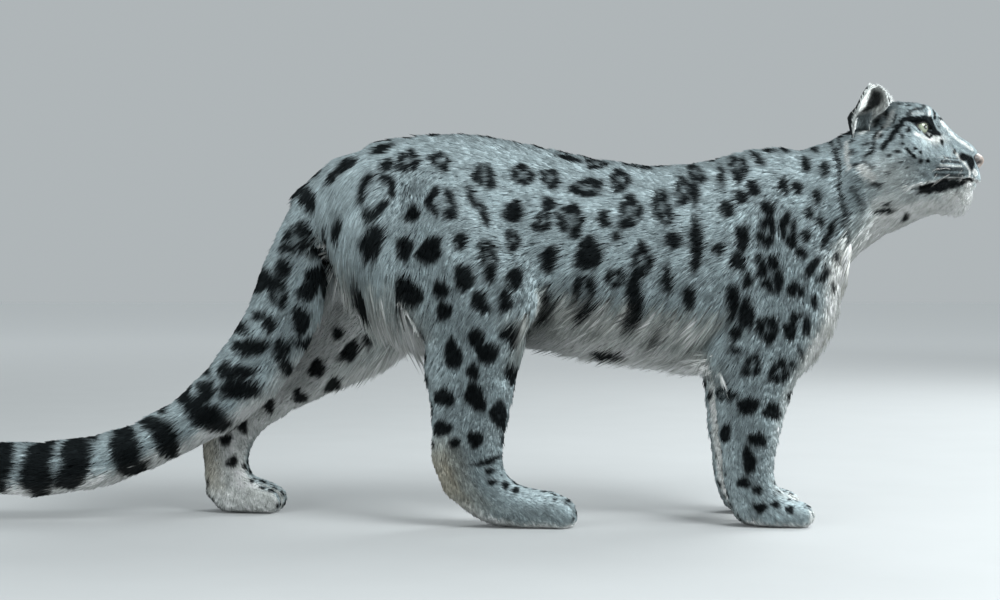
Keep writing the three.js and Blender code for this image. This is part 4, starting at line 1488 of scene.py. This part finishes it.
def grow(model, rng, which, count):
    """The stems of one piece: roots spread over its share of the skin by area and fineness, each
    leaning along the lie, with bend and tip settled at heights over the skin, and tips drawn
    together into locks."""
    points, triangles = model["points"], model["triangles"]
    weight = model["face_weight"] * (model["face_piece"] == which)
    corner, share = scatter(triangles, weight, count, rng)
    root = blended(points, corner, share)
    normal = unit(blended(model["normals"], corner, share))
    allowed = can_grow(root, model["lips"])
    root, normal = root[allowed], normal[allowed]
    blend = line_blend(root)
    depth = coat_depth(blend, normal)
    weights = blend["weights"]
    ratio, half, unruly = (
        sum(w * GROWTH[name.split("_")[0]][k] for name, w in weights.items()) for k in range(3)
    )
    ahead = in_head(root)[:, 0]
    finer = 1 - 0.42 * ramp(0.04, 0.10, ahead) * weights["head"]
    half = half * finer * np.clip(depth / 0.0085, 0.6, 1.1) * rng.uniform(0.75, 1.25, len(root))
    lie = lie_of(root, normal, blend)
    side = np.cross(lie, normal)
    sway = 0.35 * ripple(root, 0.05, 11) + 0.4 * ripple(root, 0.018, 12)
    sway = (sway + rng.normal(0, 0.6, len(root))) * unruly
    lie = unit(lie * np.cos(sway)[:, None] + side * np.sin(sway)[:, None])
    side = np.cross(lie, normal)
    stray = rng.random(len(root)) < STRAYS
    half = half * np.where(stray, 0.6, 1.0)
    hanging = behind_thighs(root, normal, blend)
    throat = weights["neck"] * ramp(0.1, -0.6, normal[:, 2])
    longer = 0.012 * hanging + 0.008 * throat
    length = (depth * ratio + 0.0018 + longer) * rng.uniform(0.8, 1.2, len(root))
    length = length * (1 - 0.25 * weights["head"] * ramp(0.04, 0.10, ahead))
    length = length * np.where(stray, 1.2, 1.0)
    height = depth * (0.90 + 0.14 * ripple(root, 0.03, 13) + rng.normal(0, 0.10, len(root)))
    height = np.clip(height, 0.3 * depth, 1.15 * depth) * np.where(stray, 1.3, 1.0) + 0.3 * longer
    root_level = model["field"].at(root)
    belly = ramp(0.0, -0.6, normal[:, 2]) * weights["trunk"]
    droop = 0.5 * (belly + hanging + 0.5 * throat) * length
    tip = root + lie * length[:, None] - UP * droop[:, None]
    tip = model["field"].settle(tip, root_level + height + 0.6 * droop, 2)
    tip = drawn_together(tip, 0.45 * length, rng)
    keel = root + (tip - root) * BEND + normal * (0.16 * height + 0.35 * half)[:, None]
    sunk = root - normal * np.minimum(0.0012, 0.3 * depth)[:, None]
    return (sunk, keel, tip, side, half), root, normal, lie, length, blend


def drawn_together(tips, most, rng):
    """Tips moved part of the way to the nearest of a few of them, which makes locks."""
    chosen = tips[::9]
    tree = KDTree(len(chosen))
    for k, tip in enumerate(chosen):
        tree.insert(tip, k)
    tree.balance()
    goal = np.array([tree.find(tip)[0] for tip in tips])
    away = np.linalg.norm(goal - tips, axis=1)
    pull = np.clip(most / np.maximum(away, 1e-6), 0, 1) * rng.uniform(0.1, 0.6, len(tips))
    return tips + (goal - tips) * pull[:, None]


def can_grow(roots, lips):
    """Whether a lock may grow at each root: not on the nose, in the eyes or on the lips."""
    free = nose_share(roots)[0] < 0.4
    for line in (lips, CLEFT):
        free &= from_stroke(folded(roots), line)[0] > LIP_HALF
    for side in SIDES:
        distance, number = opening_at(roots, side)
        free &= ~((distance < 0.024) & (number < 1.08))
    return free


def ear_stems(side, rng, count, settings):
    """The locks of one ear: short ones up its back and round its rim, longer ones inside."""
    points, triangles, keys = ear_shell(side)
    normals = normals_of(points, triangles)
    area = np.linalg.norm(crosses_of(points, triangles), axis=1)
    area = area * (keys["t"][triangles].mean(1) > -0.35) * (1 + keys["inner"][triangles].mean(1))
    corner, share = scatter(triangles, area, count, rng)
    root = blended(points, corner, share)
    normal = unit(blended(normals, corner, share))
    ends = {key: blended(keys[key], corner, share) for key in ("inner", "s", "t", "medial")}
    inner, s, t = (ends[key] for key in ("inner", "s", "t"))
    lie = unit(blended(keys["lie"], corner, share) + 0.16 * rng.normal(size=(len(root), 3)))
    lie = unit(lie - normal * dot(lie, normal)[:, None])
    side_way = np.cross(lie, normal)
    edge = np.maximum(ramp(0.45, 0.85, np.abs(s)), ramp(0.25, 0.0, t)) * inner
    length = mix(0.0070, 0.0080 + 0.0085 * edge, inner) * rng.uniform(0.7, 1.2, len(root))
    length = length * mix(1.0, 0.6, ramp(0.6, 0.95, t))
    tip = root + lie * length[:, None] + normal * (length * mix(0.20, 0.30, inner))[:, None]
    half = np.full(len(root), 0.00042) * rng.uniform(0.8, 1.2, len(root))
    keel = root + (tip - root) * BEND + normal * (0.06 * length)[:, None]
    colours = ear_colours(ends, settings)
    return (root - normal * 0.0006, keel, tip, side_way, half), colours, root


def scatter(triangles, weight, count, rng):
    """Random places on triangles, as often as their weights say: corners and shares."""
    pick = rng.choice(len(triangles), size=count, p=weight / weight.sum())
    a, b = rng.random(count), rng.random(count)
    flip = a + b > 1
    a, b = np.where(flip, 1 - a, a), np.where(flip, 1 - b, b)
    return triangles[pick], np.stack([1 - a - b, a, b], 1)


def blended(values, corner, share):
    """Values at places given by corners and shares."""
    if values.ndim == 1:
        return (values[corner] * share).sum(1)
    return (values[corner] * share[..., None]).sum(1)


WHISKER_RADIUS = 0.00028
WHISKER_RINGS = 11
WHISKER_SIDES = 6
WHISKER_SAG = 0.30
WHISKER_BEND = -0.5 * AHEAD - 0.6 * UP  # the way it bends


def whisker(root, way, length):
    """A thin tapering tube from a root: its middle line starts along a way and bends back and down
    by the square of the place along it."""
    t = np.linspace(0, 1, WHISKER_RINGS)
    line = root + way * (length * t)[:, None]
    line = line + WHISKER_BEND * (WHISKER_SAG * length * t**2)[:, None]
    along = unit(np.gradient(line, axis=0))
    aside = unit(np.cross(along, UP))
    radius = WHISKER_RADIUS * (1 - 0.85 * t)
    points = tube(line, aside, np.cross(aside, along), radius, WHISKER_SIDES)
    quads = grid_faces(WHISKER_RINGS, WHISKER_SIDES, closed_columns=True)
    numbers = list(range(len(points)))
    ends = [numbers[:WHISKER_SIDES][::-1], numbers[-WHISKER_SIDES:]]
    return points, quads.tolist() + ends


# Stage, camera and light


SENSOR = 36.0  # the breadth of the camera's sensor, in millimetres
FLOOR_REACH = 14.0
FLOOR_LEVEL = -0.0005
SKY = (0.86, 0.93, 0.96, 1)
SKY_STRENGTH = 0.50
LAMP_COLOUR = (0.93, 0.98, 1.0)
# The lamps: name, place, what each faces, its breadth and height, and its power.
LAMPS = (
    ("key", (2.4, -2.0, 2.8), (0.1, 0, 0.35), (1.8, 1.8), 150),
    ("fill", (-2.8, -3.2, 1.0), (-0.1, 0, 0.3), (2.5, 1.6), 95),
    ("rim", (2.2, 1.8, 2.4), (0.1, 0, 0.35), (2.0, 1.6), 80),
    ("front", (3.4, -0.5, 0.9), (0.8, 0, 0.45), (1.0, 1.0), 45),
)


def lamp(name, place, target, size, power):
    """A soft area light at a place, facing a target."""
    data = bpy.data.lights.new(name, "AREA")
    data.shape = "RECTANGLE"
    data.size, data.size_y = size
    data.energy = power
    data.color = LAMP_COLOUR
    light = bpy.data.objects.new(name, data)
    light.location = place
    way = unit(np.array(target) - np.array(place))
    light.rotation_euler = direction_angles(way)
    bpy.context.scene.collection.objects.link(light)


def direction_angles(way):
    """The turn that makes a lamp's or camera's own -Z face a direction with its top upwards."""
    return Vector(way).to_track_quat("-Z", "Y").to_euler()


def floor_material(colour):
    """A matt floor with a faint mottle, white far off so that it meets the background."""
    shop = Shop("floor", Roughness=0.9, Specular_IOR_Level=0.1)
    mottle = shop.noise(shop.place(), 6.0, 3.0)
    near = shop.mixed(mottle, (*colour, 1), (*(0.94 * c for c in colour), 1))
    away = shop.node("ShaderNodeVectorMath", {"operation": "LENGTH"}, (shop.place(),), "Value")
    limits = {"Value": away, "From Min": 1.5, "From Max": 7.0}
    far = shop.node("ShaderNodeMapRange", {"interpolation_type": "SMOOTHSTEP"}, limits)
    shop.set("Base Color", shop.mixed(far, near, (0.96, 0.97, 0.97, 1)))
    return shop.material


# Properties and operators


def colour_of(name, default, description):
    """A property that holds a colour."""
    return FloatVectorProperty(
        name=name, description=description, default=default, subtype="COLOR", min=0, max=1)


class LeopardSettings(bpy.types.PropertyGroup):
    """Colours and sizes that a user would change."""

    coat_grey: colour_of("Coat grey", (0.42, 0.50, 0.52), "Ground colour of the back and sides")
    coat_white: colour_of("Coat white", (0.93, 0.95, 0.92), "Colour of the chest, belly and chin")
    coat_tan: colour_of("Coat tan", (0.48, 0.40, 0.27), "Tint of the heels and the belly's edge")
    mark_black: colour_of("Marks", (0.004, 0.006, 0.007), "Colour of the rosettes and spots")
    iris: colour_of("Iris", (0.30, 0.33, 0.24), "Colour of the iris")
    nose: colour_of("Nose", (0.34, 0.27, 0.23), "Colour of the nose leather")
    floor: colour_of("Floor", (0.50, 0.51, 0.51), "Colour of the floor")
    locks: IntProperty(
        name="Locks", description="How many locks the coat has in all",
        default=LOCKS_IN_ALL, min=1000, max=LOCKS_IN_ALL)
    whisker_length: FloatProperty(
        name="Whisker length", description="Length of the longest whiskers",
        default=0.075, min=0.02, max=0.12, unit="LENGTH")


MODEL = {}  # what skin_model has worked out


def skin_model(settings):
    """The skin as arrays, with all that the coat needs to know of it, worked out once."""
    if MODEL:
        return MODEL
    field = body_field()
    points, triangles = first_skin(field)
    normals = normals_of(points, triangles)
    blend = line_blend(points)
    weights = blend["weights"]
    at_throat = ramp(0.1, -0.6, normals[:, 2]) * (weights["neck"] + weights["head"])
    points = field.settle(points, -coat_depth(blend, normals) * (1 - 0.5 * at_throat), 6)
    sights = Sights(points, triangles)
    lips = in_head(np.array([sights.point(x, y)[0] for x, y in MOUTH]))
    front = in_head(sights.nearest(from_head(CLEFT[-1]))[0])
    lips = np.vstack([np.abs(lips), front * (1, 0, 1)])
    points = shaped_face(points, triangles, lips)
    normals = normals_of(points, triangles)
    blend = line_blend(points)
    sights = Sights(points, triangles)
    marks = find_marks(points, normals, sights, blend, lips)
    colours = coat_colours(points, normals, blend, marks, settings)
    middle = points[triangles].mean(1)
    crosses = crosses_of(points, triangles)
    area = np.linalg.norm(crosses, axis=1) / 2
    middle_blend = line_blend(middle)
    depth = coat_depth(middle_blend, unit(crosses))
    MODEL.update(
        field=field, points=points, triangles=triangles, normals=normals, blend=blend,
        marks=marks, colours=colours, sights=sights, lips=lips,
        face_piece=piece_of(middle, middle_blend),
        face_weight=area / np.clip(depth, 0.004, 0.05) ** 0.8,
    )
    return MODEL


def settings_of(context):
    """The scene's settings for the leopard."""
    return context.scene.leopard


class BuildStage(bpy.types.Operator):
    """Adds the floor, the soft lights and the camera at the picture's angle"""

    bl_idname = "leopard.stage"
    bl_label = "Stage, lights and camera"

    def execute(self, context):
        settings = settings_of(context)
        corners = np.array([(-1, -1), (1, -1), (1, 1), (-1, 1)]) * FLOOR_REACH
        points = np.column_stack([corners, np.full(4, FLOOR_LEVEL)])
        floor = put_mesh("floor", points, [(0, 1, 2, 3)])
        floor.data.materials.append(floor_material(settings.floor))
        world = bpy.data.worlds.new("studio")
        world.use_nodes = True
        background = world.node_tree.nodes["Background"]
        background.inputs["Color"].default_value = SKY
        background.inputs["Strength"].default_value = SKY_STRENGTH
        context.scene.world = world
        for values in LAMPS:
            lamp(*values)
        context.scene.view_settings.view_transform = "Standard"
        camera_data = bpy.data.cameras.new("camera")
        camera_data.sensor_width = SENSOR
        camera_data.lens = SENSOR * FOCUS / PICTURE[0]
        camera_data.clip_end = 60
        camera = bpy.data.objects.new("camera", camera_data)
        camera.location = CAMERA
        camera.rotation_euler = direction_angles(LOOK)
        context.scene.collection.objects.link(camera)
        context.scene.camera = camera
        return {"FINISHED"}


class BuildSkin(bpy.types.Operator):
    """Adds the one skin that stands for all nodes of flesh"""

    bl_idname = "leopard.skin"
    bl_label = "Skin"

    def execute(self, context):
        settings = settings_of(context)
        model = skin_model(settings)
        parts = [(model["points"], model["triangles"], model["colours"])]
        for side in SIDES:
            points, triangles, keys = ear_shell(side)
            parts.append((points, triangles, ear_colours(keys, settings)))
        starts = np.cumsum([0] + [len(points) for points, _, _ in parts[:-1]])
        triangles = np.vstack([start + t for start, (_, t, _) in zip(starts, parts)])
        points, colours = (np.vstack([part[k] for part in parts]) for k in (0, 2))
        skin = put_mesh("skin", points, triangles, colours)
        skin.data.materials.append(skin_material())
        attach(skin, "root")
        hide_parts(*FLESH, *EARS)
        return {"FINISHED"}


class BuildEyes(bpy.types.Operator):
    """Adds both eyeballs"""

    bl_idname = "leopard.eyes"
    bl_label = "Eyes"

    def execute(self, context):
        material = eye_material(settings_of(context))
        for side in SIDES:
            middle, _, outer, _ = eye_axes(side)
            beside = SIDES[side] * math.sin(PUPIL_OUTWARD)
            gaze = unit(math.cos(PUPIL_OUTWARD) * AHEAD + beside * LEFT + PUPIL_UPWARD * UP)
            outer = unit(outer - (outer @ gaze) * gaze)
            upper = np.cross(gaze, outer)
            alpha, x, y, z, faces = ball_grid(*EYE_GRID)
            radius = EYE_RADIUS + CORNEA * bell(alpha, CORNEA_REACH)
            way = x[:, None] * gaze + y[:, None] * outer + z[:, None] * upper
            points = middle + radius[:, None] * way
            eye = put_mesh(f"eyeball_{side}", points, faces, None, {"angle": alpha})
            clean(eye)
            eye.data.materials.append(material)
            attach(eye, "root")
            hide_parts(f"eye_{side}")
        return {"FINISHED"}


LID_COLOUR = (0.012, 0.011, 0.010)
LID_DARK = (0.004, 0.004, 0.004)
RIM_RADIUS = 0.0010  # of a lid's rim at its corners
RIM_THICKER = 0.0005  # and how much more it is above and below
RIM_WIDER = 1.02  # its middle line, over the opening's size
RIM_OUT = 0.0006  # and how far it lies outside the eyeball
RIM_GRID = (72, 10)


class BuildLids(bpy.types.Operator):
    """Adds the dark rims of the lids"""

    bl_idname = "leopard.lids"
    bl_label = "Lid rims"

    def execute(self, context):
        material = leather_material("leopard_lid", LID_COLOUR, LID_DARK, 0.3)
        for side in SIDES:
            middle, gaze, outer, upper = eye_axes(side)
            theta = np.linspace(0, 2 * np.pi, RIM_GRID[0], endpoint=False)
            long, high = (size / EYE_RADIUS for size in OPENING)
            s = RIM_WIDER * long * np.cos(theta)
            t = RIM_WIDER * high * np.sin(theta) * (1 - LID_NARROWS * np.cos(theta) ** 2)
            g = np.sqrt(1 - s**2 - t**2)
            out = s[:, None] * outer + t[:, None] * upper + g[:, None] * gaze
            rim = middle + out * (EYE_RADIUS + RIM_OUT)
            along = unit(np.roll(rim, -1, 0) - np.roll(rim, 1, 0))
            radius = RIM_RADIUS + RIM_THICKER * np.abs(np.sin(theta))
            points = tube(rim, np.cross(along, out), out, radius, RIM_GRID[1])
            faces = grid_faces(*RIM_GRID, closed_rows=True, closed_columns=True)
            lid = put_mesh(f"lid_rim_{side}", points, faces)
            clean(lid)
            lid.data.materials.append(material)
            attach(lid, "root")
        return {"FINISHED"}


def clean(thing):
    """Merges doubled points, as at the poles, and turns all faces outwards."""
    bm = bmesh.new()
    bm.from_mesh(thing.data)
    bmesh.ops.remove_doubles(bm, verts=bm.verts, dist=1e-6)
    bmesh.ops.recalc_face_normals(bm, faces=bm.faces)
    bm.to_mesh(thing.data)
    bm.free()


# The dark of the nose's edges and the painted shade in its nostrils.
NOSE_DARK_AND_SHADE = (0.006, 0.005, 0.005)
NOSTRIL = ((0.1760, 0.0100, 0.5660), (0.0085, 0.0046, 0.0044))  # its middle and its reach
SLIT = ((0.168, 0.0145, 0.5625), (0.008, 0.004, 0.0026))  # the slit beside it, in the same way
SLIT_RISE = 0.1
NOSE_CLEFT = 0.0014  # the half breadth of the furrow down its middle
NOSE_POWER = 0.9  # below 1 the leather is fuller than an oval ball
NOSE_UNDERCUT = 0.006  # how far its front goes back low down
HOLLOW_PULL = 0.34  # how far nostrils and slits go in, as a share of the way to the middle
CLEFT_PULL = 0.10
NOSE_GRID = (60, 72)


class BuildNose(bpy.types.Operator):
    """Adds the nose leather with its nostrils"""

    bl_idname = "leopard.nose"
    bl_label = "Nose"

    def execute(self, context):
        colour = tuple(settings_of(context).nose)
        _, x, y, z, faces = ball_grid(*NOSE_GRID)
        fuller = [np.sign(v) * np.abs(v) ** NOSE_POWER for v in (x, y, z)]
        undercut = NOSE_UNDERCUT * ramp(0.1, -1, z) * x
        place = np.stack([
            NOSE_MIDDLE[0] + NOSE_HALF[0] * fuller[0] - undercut,
            NOSE_HALF[1] * fuller[1] * (1 + 0.15 * z),
            NOSE_MIDDLE[2] + NOSE_HALF[2] * fuller[2],
        ], 1)
        half = place.copy()
        half[:, 1] = np.abs(place[:, 1])
        sunk = half - np.outer(SLIT_RISE * (half[:, 0] - SLIT[0][0]), UP)
        # The wings are darker, partly the leather's dark edge and partly painted shade; the
        # nostrils and slits are darkened as painted shade.
        wing_dark_and_shade = 0.85 * ramp(0.0105, 0.0150, half[:, 1])
        hollow = np.clip(1.5 * form(half, *NOSTRIL) + form(sunk, *SLIT), 0, 1)
        cleft = bell(half[:, 1], NOSE_CLEFT) * ramp(0.572, 0.560, half[:, 2])
        pull = 1 - HOLLOW_PULL * hollow - CLEFT_PULL * cleft
        place = NOSE_MIDDLE + (place - NOSE_MIDDLE) * pull[:, None]
        shade = np.maximum(hollow, wing_dark_and_shade)
        nose = put_mesh("nose_leather", from_head(place), faces, None, {"hollow": shade})
        clean(nose)
        nose.data.materials.append(leather_material("leopard_nose", colour, NOSE_DARK_AND_SHADE, 0.42))
        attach(nose, "root")
        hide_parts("nose")
        return {"FINISHED"}


class BuildCoat(bpy.types.Operator):
    """Adds the coat's locks over the skin, piece by piece"""

    bl_idname = "leopard.coat"
    bl_label = "Coat"

    def execute(self, context):
        settings = settings_of(context)
        model = skin_model(settings)
        material = fur_material()
        rng = np.random.default_rng(SEED + 1)
        wanted = np.array([
            model["face_weight"][model["face_piece"] == k].sum() for k in range(len(COAT_PIECES))
        ])
        wanted *= DENSER
        wanted = wanted / wanted.sum() * settings.locks
        for which, name in enumerate(COAT_PIECES):
            count = int(min(wanted[which], LOCKS_EACH))
            stems, root, normal, lie, length, blend = grow(model, rng, which, count)
            tone = 1 + 0.20 * rng.normal(size=len(root)) + 0.15 * ripple(root, 0.011, 15)
            tone = np.clip(tone, 0.5, 1.6)[:, None]
            nearer = 1 - 0.45 * ramp(0.0, 0.05, in_head(root)[:, 0]) * blend["weights"]["head"]
            colours = []
            for reach in COLOURED_AT:
                read_at = root + lie * (reach * nearer * length)[:, None]
                read = coat_colours(read_at, normal, blend, model["marks"], settings)
                colours.append(tone * read)
            if name == "coat_head":
                for side in SIDES:
                    more, their_colours, their_root = ear_stems(side, rng, EAR_LOCKS, settings)
                    stems = tuple(np.concatenate(pair) for pair in zip(stems, more))
                    colours = [np.concatenate([own, their_colours]) for own in colours]
                    root = np.concatenate([root, their_root])
                blend = line_blend(root)
            put_locks(name, stems, colours, unwrap(blend), material)
        return {"FINISHED"}


class BuildWhiskers(bpy.types.Operator):
    """Adds the whiskers of the lips and brows"""

    bl_idname = "leopard.whiskers"
    bl_label = "Whiskers"

    def execute(self, context):
        settings = settings_of(context)
        model = skin_model(settings)
        rng = np.random.default_rng(SEED + 2)
        points, faces = [], []
        longest = settings.whisker_length
        starts = [
            (x, y, longest * (1 - 0.12 * k), 0.55)
            for row in WHISKER_ROWS for k, (x, y) in enumerate(along_row(row, 3))
        ]
        starts += [(x, y, 0.5 * longest, 0.9) for x, y in BROW_WHISKERS]
        for x, y, length, rise in starts:
            root, normal = model["sights"].point(x, y)
            way = unit(normal * 0.8 - AHEAD * 0.30 + UP * (0.5 * rise - 0.42))
            way = unit(way + 0.10 * rng.normal(size=3))
            length = length * rng.uniform(0.8, 1.05)
            for mirror in (False, True):
                start = mirrored(root) if mirror else root
                toward = mirrored(root + way) - mirrored(root) if mirror else way
                hair, sides = whisker(start - toward * 0.001, toward, length)
                faces += [[len(points) + k for k in face] for face in sides]
                points += hair.tolist()
        mesh = bpy.data.meshes.new("whiskers")
        mesh.from_pydata(points, [], faces)
        hairs = bpy.data.objects.new("whiskers", mesh)
        context.scene.collection.objects.link(hairs)
        clean(hairs)
        mesh.materials.append(whisker_material())
        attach(hairs, "root")
        return {"FINISHED"}


PIECES = (BuildStage, BuildSkin, BuildEyes, BuildLids, BuildNose, BuildCoat, BuildWhiskers)


class LeopardPanel(bpy.types.Panel):
    """Lists what can be built, with the colours and sizes"""

    bl_idname = "VIEW3D_PT_leopard"
    bl_label = "Snow leopard"
    bl_space_type = "VIEW_3D"
    bl_region_type = "UI"
    bl_category = "Leopard"

    def draw(self, context):
        for name in LeopardSettings.__annotations__:
            self.layout.prop(settings_of(context), name)
        for piece in PIECES:
            self.layout.operator(piece.bl_idname)


CLASSES = (LeopardSettings, *PIECES, LeopardPanel)


def register():
    """Registers the classes and the scene's settings."""
    for each in CLASSES:
        bpy.utils.register_class(each)
    bpy.types.Scene.leopard = PointerProperty(type=LeopardSettings)


def unregister():
    """Takes away what register added."""
    del bpy.types.Scene.leopard
    for each in reversed(CLASSES):
        bpy.utils.unregister_class(each)


def main():
    """Builds everything in order."""
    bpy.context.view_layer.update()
    register()
    bpy.ops.leopard.stage()
    bpy.ops.leopard.skin()
    bpy.ops.leopard.eyes()
    bpy.ops.leopard.lids()
    bpy.ops.leopard.nose()
    bpy.ops.leopard.coat()
    bpy.ops.leopard.whiskers()


if __name__ == "__main__":
    main()
